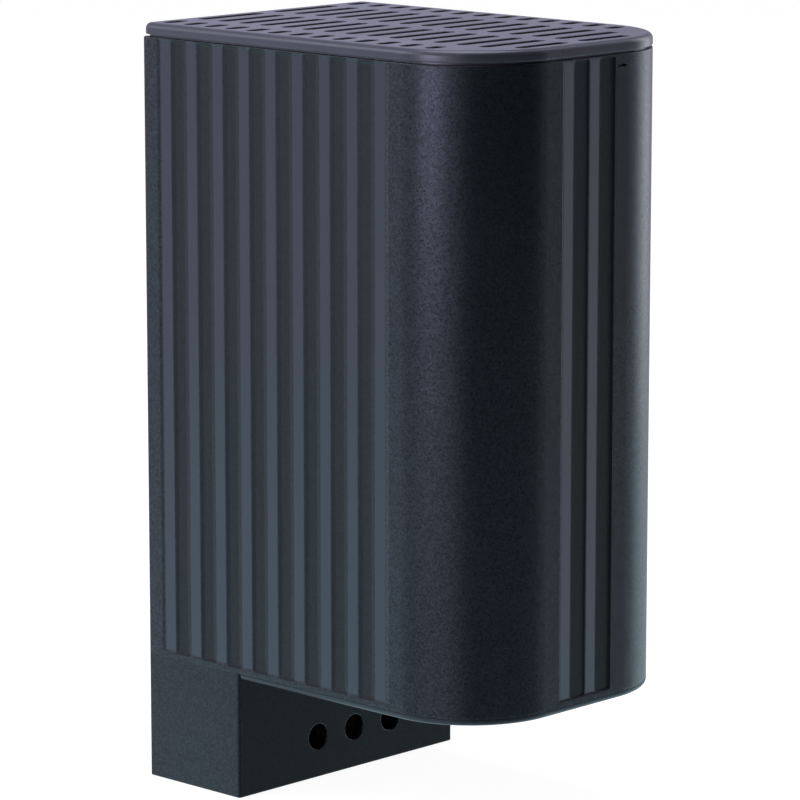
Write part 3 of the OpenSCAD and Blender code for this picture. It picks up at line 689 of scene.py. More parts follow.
def foot_skin(skin):
    """Left side of the foot below the duct: the skin's rear columns, carried on round the front corner."""
    row = skin[0]
    columns = (row[:, 1] >= FOOT_FRONT + EDGE_R - NEAR) & (row[:, 0] < 0)
    b = np.linspace(0, QUARTER, EDGE_TURN)
    rear_out = np.column_stack([-np.sin(b), np.cos(b)])
    arc_out = np.column_stack([-np.cos(b), -np.sin(b)])
    arc = np.array([EDGE_R - HALF, FOOT_FRONT + EDGE_R]) + EDGE_R * arc_out
    xy = np.concatenate([row[columns, :2], arc[1:]])
    out = np.tile([-1.0, 0.0], (len(xy), 1))
    out[:EDGE_TURN] = rear_out
    out[1 - EDGE_TURN:] = arc_out[1:]
    round_low = 0.3 * MM
    a = np.linspace(QUARTER, 0, ROUND_ROWS)
    z = np.concatenate([BASE + round_low * (1 - np.sin(a)), np.linspace(BASE + round_low, DUCT, 4)[1:]])
    inset = np.concatenate([round_low * (1 - np.cos(a)), np.zeros(3)])
    return raised(xy, out, inset[:, None], z)


def bead_groove(y, z, length):
    """Box of the groove for a snap bead."""
    reach = length / 2 + SLIDE_GAP
    return y - reach, y + reach, z - SLIDE_GAP, z + BEAD_H + SLIDE_GAP


def inner_walls():
    """Inner walls of the duct: the D plan set in by the wall, with guide rails, stops and snap grooves as
    relief. Returns their grid and the row at the top of the upstand."""
    rail_t, rail_proud, gap = 2.0 * MM, 3.6 * MM, 3.6 * MM
    reach = (gap + rail_t) / 2
    bottom = UPSTAND + SLIDE_GAP
    ends = CORE_Y - reach, CORE_Y + reach
    rails = [(y - rail_t / 2, y + rail_t / 2, bottom, PROFILE_TOP) for y in ends]
    stop = (*ends, bottom, PROFILE_LOW)
    beads = (CORE_Y, LID_BEAD_Z), (FLOOR_BEAD_Y, FLOOR_BEAD_Z)
    grooves = [bead_groove(y, z, LONG_BEAD) for y, z in beads]
    spread = np.array([-0.5, 0.5]) * INNER_STEP
    boxes = np.array(rails + [stop] + grooves)
    sides = samples(boxes[:, :2].ravel(), spread, FRONT + CORNER_R, REAR_INNER, 12 * MM)
    sides = merged(sides, [FOOT_FRONT, FOOT_INNER])[::-1]
    xy, out, place, side = d_plan(WALL, 0, sides)
    z = samples(boxes[:, 2:].ravel(), spread, DUCT, SEAM, 20 * MM)
    z = merged(z, [UPSTAND])
    flank = np.abs(side) == 1
    u, h = place[None, flank], z[:, None]
    inset = np.zeros((len(z), len(xy)))
    proud = np.max([step(box_distance(u, h, box, 0), INNER_STEP) for box in rails + [stop]], axis=0)
    sunk = sum(step(box_distance(u, h, box, 0), INNER_STEP) for box in grooves)
    inset[:, flank] = rail_proud * proud - BEAD_PROUD * sunk
    level = int(np.argmin(np.abs(z - UPSTAND)))
    return raised(xy, out, inset, z), level


def foot_cavity(inner, level):
    """Left wall of the terminal space: the inner wall's rear columns carried down, with a snap groove."""
    columns = (inner[level, :, 1] >= FOOT_INNER - NEAR) & (inner[level, :, 0] < 0)
    y = merged(inner[level, columns, 1], [FOOT_INNER, REAR_INNER])[::-1]
    box = bead_groove(COVER_BEAD_Y, COVER_BEAD_Z, SHORT_BEAD)
    z = samples(box[2:], np.array([-0.5, 0.5]) * INNER_STEP, BASE, UPSTAND, 12 * MM)
    sunk = BEAD_PROUD * step(box_distance(y[None], z[:, None], box, 0), INNER_STEP)
    points = np.empty((len(z), len(y), 3))
    points[..., 0] = -INNER - sunk
    points[..., 1] = y
    points[..., 2] = z[:, None]
    return points


def boss_rows(x):
    """Screw boss on the rear wall: rings along its outside, over its soft end and back through its bore."""
    bore_r, boss_r, end = 1.48 * MM, 3.5 * MM, REAR - 8.2 * MM
    soft, lead_in = 0.3 * MM, 0.2 * MM
    ring = circle(x, CLIP_SCREW_Z, 0)
    steps = [(boss_r, REAR_INNER), (boss_r, end + soft), (boss_r - soft, end),
             (bore_r + lead_in, end), (bore_r, end + lead_in), (bore_r, REAR)]
    return np.stack([at_y(ring(r), y) for r, y in steps])


def driver_hole_rows(x):
    """Screwdriver hole in the foot's front wall: rings over a quarter-round lip, then straight inwards."""
    hole_r, lip, sides = 2.6 * MM, 0.25 * MM, 56
    ring = circle(x, SCREW_Z, hole_r, sides)
    turns = np.linspace(0, QUARTER, ROUND_ROWS)
    rows = [at_y(ring(lip * (1 - math.sin(t))), FOOT_FRONT + lip * (1 - math.cos(t))) for t in turns]
    return np.stack(rows + [at_y(ring(0), FOOT_INNER)])


def housing_patches(casing):
    """All walls of the casing, joined edge to edge: skin, foot, inner walls, terminal space, rims and
    holes. Returns the patches and the zone of each point."""
    skin, rib, body_top = outer_skin(casing)
    left = foot_skin(skin)
    right = mirrored(left)
    inner, level = inner_walls()
    cavity = foot_cavity(inner, level)
    flat = ROUND_ROWS - 1
    patches, zones = [], []

    def put(patch, zone=0.0):
        patches.append(patch)
        zones.append(np.broadcast_to(zone, len(patch[0])))

    put(sheet(skin), rib.ravel())
    for points in (left, right):
        put(sheet(points), FOOT_ZONE)
    for points in (inner[level:], cavity, mirrored(cavity)):
        put(sheet(points))
    ahead = inner[level, :, 1] <= FOOT_FRONT + NEAR
    put(sheet(inner[:level + 1, ahead]))

    # Rounded strips that join the two sides across the rear's top and the foot's bottom edges
    top = skin[body_top - 1:]
    put(sheet(np.stack([top[:, -1], top[:, 0]], 1)))
    put(sheet(np.stack([right[:flat + 1, 0], left[:flat + 1, 0]], 1)))
    # The foot's bottom front edge takes the painted shade of the foot's front: low gloss for the shade
    # under the overhang
    put(sheet(np.stack([left[:flat + 1, -1], right[:flat + 1, -1]], 1)), FOOT_FRONT_SHADE_ZONE)

    # Rear wall, outside and inside, with the two screw bosses
    outer_holes, inner_holes = [], []
    for x in CLIP_SCREW_X:
        rows = boss_rows(x)
        put(sheet(rows, True))
        inner_holes.append(rows[0])
        outer_holes.append(rows[-1])
    rear_left = np.concatenate([left[flat:, 0], skin[1:body_top, 0]])
    inner_left = np.concatenate([cavity[:, 0], inner[level + 1:, 0]])
    put(cap([with_mirror(rear_left)] + outer_holes, 1))
    put(cap([with_mirror(inner_left)] + inner_holes, 1))

    # Front wall of the foot, outside and inside, with the three screwdriver holes
    outer_holes, inner_holes = [], []
    for x in POLES:
        rows = driver_hole_rows(x)
        put(sheet(rows, True))
        outer_holes.append(rows[0])
        inner_holes.append(rows[-1])
    upstand_edge = np.tile([-INNER, FOOT_FRONT], (level + 1, 1))
    upstand_edge = np.column_stack([upstand_edge, inner[:level + 1, 0, 2]])
    outline = np.concatenate([left[flat:, -1], upstand_edge])
    # The foot's front wall takes the painted shade: low gloss for the shade under the duct's overhang
    put(cap([with_mirror(outline)] + outer_holes, 1), FOOT_FRONT_SHADE_ZONE)
    put(cap([with_mirror(cavity[:, -1])] + inner_holes, 1))

    # Top of the upstand, and the flat rims at the top, under the duct and under the foot
    x, y = inner[level, :, 0], inner[level, :, 1]
    strip = inner[level, (y <= FOOT_INNER + NEAR) & (y >= FOOT_FRONT - NEAR) & (x < 0)]
    put(cap([with_mirror(strip)], 2))
    put(cap([skin[-1], inner[-1]], 2))
    low_row = skin[0, skin[0, :, 1] <= FOOT_FRONT + EDGE_R + NEAR]
    corner = left[-1, 1 - EDGE_TURN:]
    ring = np.concatenate([low_row, mirrored(corner), inner[0, ahead][::-1], corner[::-1]])
    put(cap([ring], 2))
    put(cap([with_mirror(left[0]), with_mirror(cavity[0])], 2))
    return patches, np.concatenate(zones)


# Grilles

def half_width(y, inset):
    """Half width of the set-in D plan at one depth: straight, then h - R + sqrt(r^2 - dy^2)."""
    start, r = FRONT + CORNER_R, CORNER_R - inset
    if y >= start:
        return HALF - inset
    return HALF - CORNER_R + math.sqrt(max(0, r * r - (start - y) ** 2))


def slot_rows(grille, y_front, y_rear, rim):
    """Slots in rows of four between two depths, with ends that follow the round corners."""
    width, pitch, web = grille.slot_width, grille.slot_pitch, grille.slot_web
    slack, shortest = 1e-6, 1.2 * width
    count = int((y_rear - y_front - width) / pitch + slack) + 1
    start = (y_front + y_rear - (count - 1) * pitch) / 2
    outer = 1.5 * web + grille.slot_length
    slots = []
    for y in start + np.arange(count) * pitch:
        reach = half_width(y - width / 2, rim)
        spans = [(web / 2, min(web / 2 + grille.slot_length, reach))]
        if reach - outer > shortest:
            spans.append((outer, reach))
        slots += [(x0, x1, y) for x0, x1 in spans] + [(-x1, -x0, y) for x0, x1 in spans]
    return [stadium(x0, x1, y, width) for x0, x1, y in slots]


def d_loop(edge):
    """D plan as a loop that shrinks with its inset, keeping a small radius at the rear corners."""
    least = 0.3 * MM
    return lambda inset: d_plan(inset, max(edge - inset, least))[0]


def spigot(low, high):
    """Thin ring wall inside the casing, between two heights."""
    outside, thick, lead_in = WALL + FIT_GAP, 1.4 * MM, 0.3 * MM
    rows = [(outside, high), (outside, low + lead_in), (outside + lead_in, low), (outside + thick, low),
            (outside + thick, high)]
    loop_at = d_loop(EDGE_R)
    points = np.stack([loop3(loop_at(inset), z) for inset, z in rows + rows[:1]])
    return [sheet(points, True)]


def flank_beads(y, z, length):
    """Snap beads on both flanks."""
    x = INNER - FIT_GAP
    root, slack, soft = 0.8 * MM, 0.01 * MM, 0.2 * MM
    beads = []
    for s in (-1, 1):
        x0, x1 = sorted((s * (x - root), s * (x + BEAD_PROUD - slack)))
        beads += brick((x0, y - length / 2, z), (x1, y + length / 2, z + BEAD_H), soft)
    return beads


def slotted(rim, slots, low, high, round_low, round_high):
    """Plate inside a rim, with slots through it: the rim, a wall along each slot and a cap at each face."""
    z, inset = rounded_rows(low, high, round_low, round_high)
    walls = [wall(slot, z, inset) for slot in slots]
    patches = [sheet(points, True) for points in [rim] + walls]
    falling = rim[0, 0, 2] > rim[-1, 0, 2]
    for end, row in ((0, -1), (-1, 0)) if falling else ((0, 0), (-1, -1)):
        patches.append(cap([rim[end]] + [points[row] for points in walls], 2))
    return patches


def top_grille_patches(grille):
    """Vent lid: the D plan carried along the rim's section, slots with rounded edges, spigot, beads and
    posts above the profile."""
    seam_h, seam_in, land, bite = 0.4 * MM, 0.8 * MM, 2.2 * MM, 0.3 * MM
    spigot_h, post, half_post, soft = 5 * MM, 3.6 * MM, 1.5 * MM, 0.2 * MM
    r, low_r, under_r = grille.lid_round, 0.2 * MM, 0.1 * MM
    a = np.linspace(0, QUARTER, 9)
    b = np.linspace(0, QUARTER, 4)
    rows = list(zip(r * (1 - np.sin(a)), LID_TOP - r * (1 - np.cos(a))))
    rows += list(zip(low_r * (1 - np.cos(b)), SEAM + seam_h + low_r * (1 - np.sin(b))))
    rows += [(seam_in, SEAM + seam_h), (seam_in, SEAM)]
    loop_at = d_loop(grille.lid_rear)
    rim = np.stack([loop3(loop_at(inset), z) for inset, z in rows])
    slots = slot_rows(grille, FRONT + land, REAR - land, land)
    patches = slotted(rim, slots, SEAM, LID_TOP, under_r, grille.slot_round)
    patches += spigot(SEAM - spigot_h, SEAM + bite)
    patches += flank_beads(CORE_Y, LID_BEAD_Z, LONG_BEAD)
    for s in (-1, 1):
        x0, x1 = sorted((s * (INNER - post), s * (INNER - FIT_GAP)))
        low = (x0, CORE_Y - half_post, PROFILE_TOP + SLIDE_GAP)
        patches += brick(low, (x1, CORE_Y + half_post, SEAM + bite), soft)
    return patches


def bottom_grille_patches(grille):
    """Vent floor: the D plan in front of the foot carried along the rim's section, slots, spigot and
    beads."""
    thick, round_low, soft = 1.4 * MM, 1.0 * MM, 0.3 * MM
    inside = WALL + FIT_GAP
    top = RIM + 2.4 * MM

    def front_loop(inset, rear=FLOOR_REAR):
        xy = d_plan(inset, 0)[0]
        return np.column_stack([xy[:, 0], np.minimum(xy[:, 1], rear)])

    a = np.linspace(0, QUARTER, 9)
    rows = list(zip(round_low * (1 - np.sin(a)), RIM + round_low * (1 - np.cos(a))))
    rows += [(0, DUCT), (inside, DUCT), (inside, top)]
    rim = np.stack([loop3(front_loop(inset), z) for inset, z in rows])
    land = inside + thick + 0.4 * MM
    slots = slot_rows(grille, FRONT + land, FLOOR_REAR - thick, land)
    patches = slotted(rim, slots, RIM, top, grille.slot_round, grille.slot_round)
    outer, inner = front_loop(inside), front_loop(inside + thick, FLOOR_REAR - thick)
    lead_in = outer * 0.7 + inner * 0.3
    ring = [(outer, top - soft), (outer, UPSTAND - soft), (lead_in, UPSTAND), (inner, UPSTAND),
            (inner, top - soft), (outer, top - soft)]
    patches.append(sheet(np.stack([loop3(loop, height) for loop, height in ring]), True))
    return patches + flank_beads(FLOOR_BEAD_Y, FLOOR_BEAD_Z, LONG_BEAD)


def base_cover_patches():
    """Cover of the terminal space: plate with three rounded wire entries, beads and two posts that carry
    the terminals."""
    low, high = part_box("base_cover")
    half, thick, corner_r = INNER - FIT_GAP, 2.2 * MM, 0.4 * MM
    entry_r, entry_round, soft = 2.6 * MM, 0.5 * MM, 0.25 * MM
    post, post_front, post_rear = 2 * MM, -9.5 * MM, -7.5 * MM
    outline = rectangle(-half, half, low.y, high.y, corner_r)
    entries = [circle(x, WIRE_Y, entry_r) for x in POLES]
    patches = plate(outline, entries, BASE, BASE + thick, soft, soft, entry_round)
    patches += flank_beads(COVER_BEAD_Y, COVER_BEAD_Z, SHORT_BEAD)
    for x in (POLES[0], POLES[2]):
        foot, head = (x - post, post_front, BASE + thick / 2), (x + post, post_rear, high.z)
        patches += brick(foot, head, soft)
    return patches


# Heating stack

def comb_outline():
    """Section of the extrusion: fins on both faces of the core and a flange at each end. The front half and
    the same half turned half round make the whole."""
    core, flange, tip = 4.5 * MM, 1.5 * MM, 24.5 * MM
    half_core, half_flange, half_fin = 23.0 * MM, 28.3 * MM, 0.8 * MM
    fins, fin_pitch, soft = 9, 5.2, 0.35 * MM
    front = [(-half_core, -core)]
    for x in (np.arange(fins) - fins // 2) * fin_pitch * MM:
        front += [(x - half_fin, -core), (x - half_fin, -tip), (x + half_fin, -tip), (x + half_fin, -core)]
    side = [(half_core, -core), (half_core, -flange), (half_flange, -flange), (half_flange, flange),
            (half_core, flange)]
    half = np.array(front + side)
    return eased(np.concatenate([half, -half]), soft) + np.array([0, CORE_Y])


def profile_patches():
    """Finned extrusion with the slot for the heating stack and two round channels."""
    half, half_depth, corner_r = 13 * MM, 1.85 * MM, 0.15 * MM
    channel_x, channel_r = 18 * MM, 1.75 * MM
    pack = rectangle(-half, half, CORE_Y - half_depth, CORE_Y + half_depth, corner_r)(0)
    channels = [circle(x, CORE_Y, channel_r)(0) for x in (-channel_x, channel_x)]
    return slab(loop3, comb_outline(), PROFILE_LOW, PROFILE_TOP, [pack] + channels)


def contact_patches(node, side):
    """Contact plate of a stack: one flat outline with a blade below the profile."""
    low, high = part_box(node)
    half, blade, x, soft = 12 * MM, 3.15 * MM, side * 6 * MM, 0.6 * MM
    shoulder = PROFILE_LOW + 1.5 * MM
    corners = [(-half, high.z), (-half, shoulder), (x - blade, shoulder), (x - blade, low.z),
               (x + blade, low.z), (x + blade, shoulder), (half, shoulder), (half, high.z)]
    return slab(at_y, eased(corners, soft), low.y, high.y)


# Leads

def lead_path(a, b, level):
    """Route of a lead: up from its clamp, across at one level and up to its end, with the bends as the
    curve (1 - t)^2 p + 2 t (1 - t) c + t^2 q between points one bend radius from the corner."""
    bend = 3.0 * MM
    a, b = np.array(a), np.array(b)
    low, high = np.array([a[0], a[1], level]), np.array([b[0], b[1], level])
    t = np.linspace(0, 1, 14)[:, None]
    parts = [a[None]]
    for before, c, after in ((a, low, high), (low, high, b)):
        p = c + bend * (before - c) / np.linalg.norm(before - c)
        q = c + bend * (after - c) / np.linalg.norm(after - c)
        parts.append((1 - t) ** 2 * p + 2 * t * (1 - t) * c + t * t * q)
    return np.concatenate(parts + [b[None]])


def tube(path, r, sides=28):
    """Round tube along a path in an upright plane: each ring is centre + r (cos a side + sin a up), with
    flat ends."""
    along = np.gradient(path, axis=0)
    along /= np.linalg.norm(along, axis=1)[:, None]
    run = path[-1] - path[0]
    side = np.cross([0, 0, 1], run)
    side /= np.linalg.norm(side)
    up = np.cross(along, side)
    a = np.arange(sides) * 2 * math.pi / sides
    rings = path[:, None] + r * (np.cos(a)[None, :, None] * side + np.sin(a)[None, :, None] * up[:, None])
    return [sheet(rings, True)] + [(rings[k], [list(range(sides))]) for k in (0, -1)]


# Rail clip and its screws

# Middle line of the clip in millimetres: half of its straight back, bend radius, lip and flare
CLIP_BACK = 17.4
CLIP_BEND = 1.3
CLIP_LIP = 2.2
CLIP_FLARE = 1.1


def folded(flat):
    """Sheet point (x, s, n) in space. Along s the middle line runs straight up the back, makes half a turn,
    goes down a lip and leans out in a flare; n is the distance from the middle towards the rail."""
    bend, start, lip, lean = CLIP_BEND * MM, CLIP_BACK * MM, CLIP_LIP * MM, math.atan(0.5)
    bend_y, ease = 0.7 * MM, 0.2 * MM
    x, s, n = flat.T
    reach = np.abs(s)
    turn = np.clip((reach - start) / bend, 0, math.pi)
    rest = np.maximum(reach - start - math.pi * bend, 0)
    down = np.minimum(rest, lip)
    flare = rest - down
    angle = turn - lean * np.clip(flare / ease, 0, 1)
    y = bend_y - bend * np.cos(turn) + flare * math.sin(lean) + n * np.cos(angle)
    z = np.minimum(reach, start) + bend * np.sin(turn) - down - flare * math.cos(lean) - n * np.sin(angle)
    return np.column_stack([x, y, np.where(s < 0, -z, z)])


def rail_clip_patches():
    """Spring clip: one stamped sheet with a tongue between two slits, folded to a hook at both ends."""
    half, tongue, slit = 13.0 * MM, 6.5 * MM, 1.2 * MM
    slit_end, wing_end = -4.0 * MM, -12.0 * MM
    end = (CLIP_BACK + math.pi * CLIP_BEND + CLIP_LIP + CLIP_FLARE) * MM
    corner_r, longest, level = 0.59 * MM, 0.3 * MM, 0.6 * MM
    right = [(tongue, -end), (tongue, slit_end), (tongue + slit, slit_end), (tongue + slit, wing_end),
             (half, wing_end), (half, end)]
    left = [(-x, s) for x, s in reversed(right)]
    outline = refined(eased(right + left, corner_r), longest)

    # Loose points in the bent stretches of the hook and of the tongue
    first, margin, gap = 17.2 * MM, 0.2 * MM, 0.22 * MM
    rows = np.arange(first, end - margin, gap)
    hook_x, tongue_x = np.arange(-12, 12.1, 1.5) * MM, np.arange(-5.5, 5.6, 1.1) * MM
    grids = [np.meshgrid(hook_x, rows), np.meshgrid(tongue_x, -rows)]
    inner = np.concatenate([np.stack(grid, -1).reshape(-1, 2) for grid in grids])
    patches = [sheet(np.stack([loop3(outline, -level), loop3(outline, level)]), True)]
    holes = []
    profile = [(1.48 * MM, -level), (2.60 * MM, level - 0.06 * MM), (2.68 * MM, level)]
    for x in CLIP_SCREW_X:
        cone = np.stack([loop3(circle(x, CLIP_SCREW_Z, r)(0), n) for r, n in profile])
        patches.append(sheet(cone, True))
        holes.append(cone)
    for row, n in ((0, -level), (-1, level)):
        patches.append(cap([loop3(outline, n)] + [cone[row] for cone in holes], 2, loop3(inner, n)))
    return [(folded(verts), faces) for verts, faces in patches]


def clip_screw_patches(x, z):
    """Countersunk screw with a cross recess: a turned profile whose shank carries a thread, a ridge at the
    phase y / pitch + angle / turn."""
    pitch, depth, deepest, recess = 1.1 * MM, 0.22 * MM, 0.6, 0.6 * MM
    shank, neck, tip, tip_r, taper = 1.45 * MM, -1.3 * MM, -9.2 * MM, 0.25 * MM, 0.9
    sides, rows = 40, 90
    a = np.arange(sides) * 2 * math.pi / sides
    head = [(2.60 * MM, 0.0), (2.64 * MM, -0.04 * MM), (2.62 * MM, -0.10 * MM), (shank, -1.2 * MM)]
    y = np.concatenate([[row[1] for row in head], np.linspace(neck, tip, rows)])
    r = np.concatenate([[row[0] for row in head], np.full(rows, shank)])
    r = np.minimum(r, tip_r + (y - tip) * taper)
    phase = (y[:, None] / pitch + a / (2 * math.pi)) % 1
    threaded = np.clip((neck - y) / pitch, 0, 1)[:, None]
    radius = r[:, None] - threaded * np.minimum(depth, deepest * r[:, None]) * np.abs(2 * phase - 1)
    points = np.stack([x + radius * np.cos(a), np.repeat(y[:, None], sides, 1), z + radius * np.sin(a)], -1)
    long, half = 1.325 * MM, 0.4 * MM
    arm = [(long, -half), (long, half), (half, half)]
    turns = [np.array(arm), np.array([(-v, u) for u, v in arm])]
    cross = np.concatenate(turns + [-turns[0], -turns[1]]) + np.array([x, z])
    wall_rows = np.stack([at_y(cross, 0.0), at_y(cross, -recess)])
    return [sheet(points, True), (points[-1], [list(range(sides))]), sheet(wall_rows, True),
            cap([points[0], wall_rows[0]], 1), cap([wall_rows[1]], 1)]


# Stage

# Point that the lamps aim at, which the floor lies round, and the floor as the camera sees it
MIDDLE = (0, -0.045, 0.0)
FLOOR_SEEN = (0.93, 0.93, 0.93, 1)

# Tints of the studio that the gloss shows, and what the light below the part is dyed by and gains
COLD, VIOLET, ROSY = (0.93, 0.98, 1.08), (0.96, 0.92, 1.24), (1.20, 1.0, 1.06)
WARM, SOFT = (1.12, 0.98, 0.97), (1.0, 0.98, 1.07)
BELOW_DYE = (0.66, 0.88, 0.86, 1)
BELOW_GLOW = (0.52, 0.70, 0.69, 1)

# Studio by bearing: degrees from straight ahead, with the left side at 90, then level and tint
STUDIO = (
    (-180, 0.5, VIOLET), (-150, 0.7, VIOLET), (-135, 0.62, VIOLET), (-128, 0.45, VIOLET),
    (-118, 0.38, VIOLET), (-98, 0.62, COLD), (-80, 1.5, COLD), (-70, 1.05, COLD), (-62, 0.05, COLD),
    (-53, 0.03, COLD), (-51.5, 1.24, WARM), (-46.5, 1.24, WARM), (-45, 0.02, COLD), (54, 0.02, COLD),
    (66, 0.9, ROSY), (104, 0.88, ROSY), (114, 0.62, SOFT), (125, 0.6, SOFT), (132, 1.12, SOFT),
    (150, 1.36, SOFT), (180, 0.5, SOFT),
)


def add_floor(stage):
    """Round pale floor under the foot: rings of growing radius, clear when seen from below."""
    sides, rings, drop = 96, 14, 0.03 * MM
    hub_r, first_r, last_r = 0.0005, 0.05, 6
    r = np.concatenate([[hub_r], np.geomspace(first_r, last_r, rings)])
    a = np.arange(sides) * 2 * math.pi / sides
    x, y = np.outer(r, np.cos(a)), np.outer(r, np.sin(a)) + MIDDLE[1]
    verts, faces = sheet(np.stack([x, y, np.full_like(x, BASE - drop)], -1), True)
    mesh = bpy.data.meshes.new("floor")
    mesh.from_pydata(verts.tolist(), [], [face[::-1] for face in faces] + [list(range(sides))])
    floor = bpy.data.objects.new("floor", mesh)
    bpy.context.scene.collection.objects.link(floor)
    material, tree, _ = new_finish("pale_floor")
    path = add(tree, "ShaderNodeLightPath")
    paint = add(tree, "ShaderNodeBsdfDiffuse", {"Color": (*stage.floor, 1)})
    seen = add(tree, "ShaderNodeEmission", {"Strength": path.outputs["Is Camera Ray"], "Color": FLOOR_SEEN})
    both = add(tree, "ShaderNodeAddShader", {0: paint.outputs[0], 1: seen.outputs[0]})
    under = add(tree, "ShaderNodeNewGeometry").outputs["Backfacing"]
    clear = add(tree, "ShaderNodeBsdfTransparent")
    faced = add(tree, "ShaderNodeMixShader", {0: under, 1: both.outputs[0], 2: clear.outputs[0]})
    add(tree, "ShaderNodeOutputMaterial", {"Surface": faced.outputs[0]})
    mesh.materials.append(material)
    floor.visible_glossy = False


def studio_colour(tree, axes):
    """Colour of the studio by bearing round the part, the angle of (-x, -y), read on a ramp."""
    left, ahead = (add(tree, "ShaderNodeMath", {0: axes.outputs[axis], 1: -1.0}, operation="MULTIPLY")
                   for axis in "XY")
    bearing = add(tree, "ShaderNodeMath", {0: left.outputs[0], 1: ahead.outputs[0]}, operation="ARCTAN2")
    turn = add(tree, "ShaderNodeMapRange", {"Value": bearing.outputs[0], "From Min": -math.pi,
                                            "From Max": math.pi})
    ramp = add(tree, "ShaderNodeValToRGB", {"Fac": turn.outputs["Result"]})
    bar = ramp.color_ramp
    while len(bar.elements) < len(STUDIO):
        bar.elements.new(0.5)
    for element, (degrees, level, tint) in zip(bar.elements, STUDIO):
        element.position = (degrees + 180) / 360
        element.color = (*(level * channel for channel in tint), 1)
    return ramp.outputs["Color"]


def add_world(scene, stage):
    """White to the camera, an even light for rough surfaces, and for gloss a studio with a dark side at the
    camera."""
    world = bpy.data.worlds.new("studio")
    world.use_nodes = True
    tree = world.node_tree
    tree.nodes.clear()
    scene.world = world
    path = add(tree, "ShaderNodeLightPath").outputs
    way = add(tree, "ShaderNodeTexCoord").outputs["Generated"]
    axes = add(tree, "ShaderNodeSeparateXYZ", {"Vector": way})
    below = add(tree, "ShaderNodeMapRange", {"Value": axes.outputs["Z"], "From Min": -0.08,
                                             "From Max": -0.4},
                interpolation_type="SMOOTHSTEP").outputs["Result"]
    colour = studio_colour(tree, axes)
    for blend, tint in (("MULTIPLY", BELOW_DYE), ("ADD", BELOW_GLOW)):
        mix = add(tree, "ShaderNodeMix", {"Factor": below, 6: colour, 7: tint}, data_type="RGBA",
                  blend_type=blend)
        colour = mix.outputs[2]
    gloss, even, white = (add(tree, "ShaderNodeBackground", {"Color": tint, "Strength": level}).outputs[0]
                          for tint, level in ((colour, 1.0), (WHITE, stage.ambient), (WHITE, 1.0)))
    through = add(tree, "ShaderNodeMath", {0: path["Is Camera Ray"], 1: path["Is Transmission Ray"]},
                  operation="MAXIMUM").outputs[0]
    shine = add(tree, "ShaderNodeMixShader", {0: path["Is Glossy Ray"], 1: even, 2: gloss}).outputs[0]
    seen = add(tree, "ShaderNodeMixShader", {0: through, 1: shine, 2: white}).outputs[0]
    add(tree, "ShaderNodeOutputWorld", {"Surface": seen})


def add_lamps():
    """Softboxes: each has a place, an aim, a size, a power and a colour."""
    plain, pink = (1.0, 1.0, 1.0), (1.0, 0.88, 0.94)
    boxes = {
        "key_left": ((-0.62, 0.42, 0.42), MIDDLE, (0.5, 0.5), 1.6, plain),
        "strip_left": ((-0.475, -0.06, 0.075), (0, -0.045, 0.03), (0.2, 0.1), 0.5, pink),
        "top": ((0.0, -0.02, 0.9), MIDDLE, (0.7, 0.7), 5.3, plain),
        "rim_right": ((0.78, -0.08, 0.15), MIDDLE, (0.3, 0.6), 0.72, plain),
        "bounce": ((0.0, -0.36, -0.065), (0, -0.06, -0.04), (0.5, 0.12), 0.015, plain),
    }
    for name, (place, aim, size, power, colour) in boxes.items():
        lamp = bpy.data.lights.new(name, "AREA")
        lamp.shape = "RECTANGLE"
        lamp.size, lamp.size_y = size
        lamp.energy = power
        lamp.color = colour
        holder = bpy.data.objects.new(name, lamp)
        holder.location = place
        holder.visible_camera = False
        holder.rotation_euler = (Vector(aim) - Vector(place)).to_track_quat("-Z", "Y").to_euler()
        bpy.context.scene.collection.objects.link(holder)


def add_camera(scene, stage):
    """Camera at the photograph's place: yaw, tilt and roll give its three axes."""
    place = (-0.6124455, -0.6264256, 0.1572712)
    yaw, tilt, roll = 0.8084, 0.1858, 0.0002
    look = Vector((math.sin(yaw) * math.cos(tilt), math.cos(yaw) * math.cos(tilt), -math.sin(tilt)))
    level = Vector((math.cos(yaw), -math.sin(yaw), 0))
    right = math.cos(roll) * level + math.sin(roll) * level.cross(look)
    up = right.cross(look)
    lens = bpy.data.cameras.new("camera")
    lens.lens = stage.lens
    lens.clip_start, lens.clip_end = 0.01, 50
    camera = bpy.data.objects.new("camera", lens)
    axes = Matrix((right, up, -look)).transposed().to_4x4()
    camera.matrix_world = Matrix.Translation(place) @ axes
    scene.collection.objects.link(camera)
    scene.camera = camera


# Steps

class HEATER_OT_stage(bpy.types.Operator):
    """Makes the floor, the soft studio light and the camera"""
    bl_idname = "heater.stage"
    bl_label = "Stage"

    def execute(self, context):
        stage = context.scene.heater_stage
        scene = context.scene
        scene.view_settings.view_transform = "Standard"
        add_floor(stage)
        add_world(scene, stage)
        add_lamps()
        add_camera(scene, stage)
        return {"FINISHED"}


class HEATER_OT_housing(bpy.types.Operator):
    """Makes the moulded casing with its ribbed panels and its foot"""
    bl_idname = "heater.housing"
    bl_label = "Housing"

    def execute(self, context):
        casing = context.scene.heater_casing
        patches, rib = housing_patches(casing)
        make_piece("casing_housing", patches, "housing", moulded_black(casing), rib)
        return {"FINISHED"}


class HEATER_OT_top_grille(bpy.types.Operator):
    """Makes the vent lid"""
    bl_idname = "heater.top_grille"
    bl_label = "Vent lid"

    def execute(self, context):
        grille = context.scene.heater_grille
        finish = moulded_plain("lid_grey", grille.colour, 0.28, 0.3 * MM, 0.5, PALE_COOL, 0.6)
        make_piece("casing_lid", top_grille_patches(grille), "top_grille", finish)
        return {"FINISHED"}


class HEATER_OT_bottom_grille(bpy.types.Operator):
    """Makes the vent floor"""
    bl_idname = "heater.bottom_grille"
    bl_label = "Vent floor"

    def execute(self, context):
        patches = bottom_grille_patches(context.scene.heater_grille)
        make_piece("casing_floor", patches, "bottom_grille", stock("plain_black"))
        return {"FINISHED"}


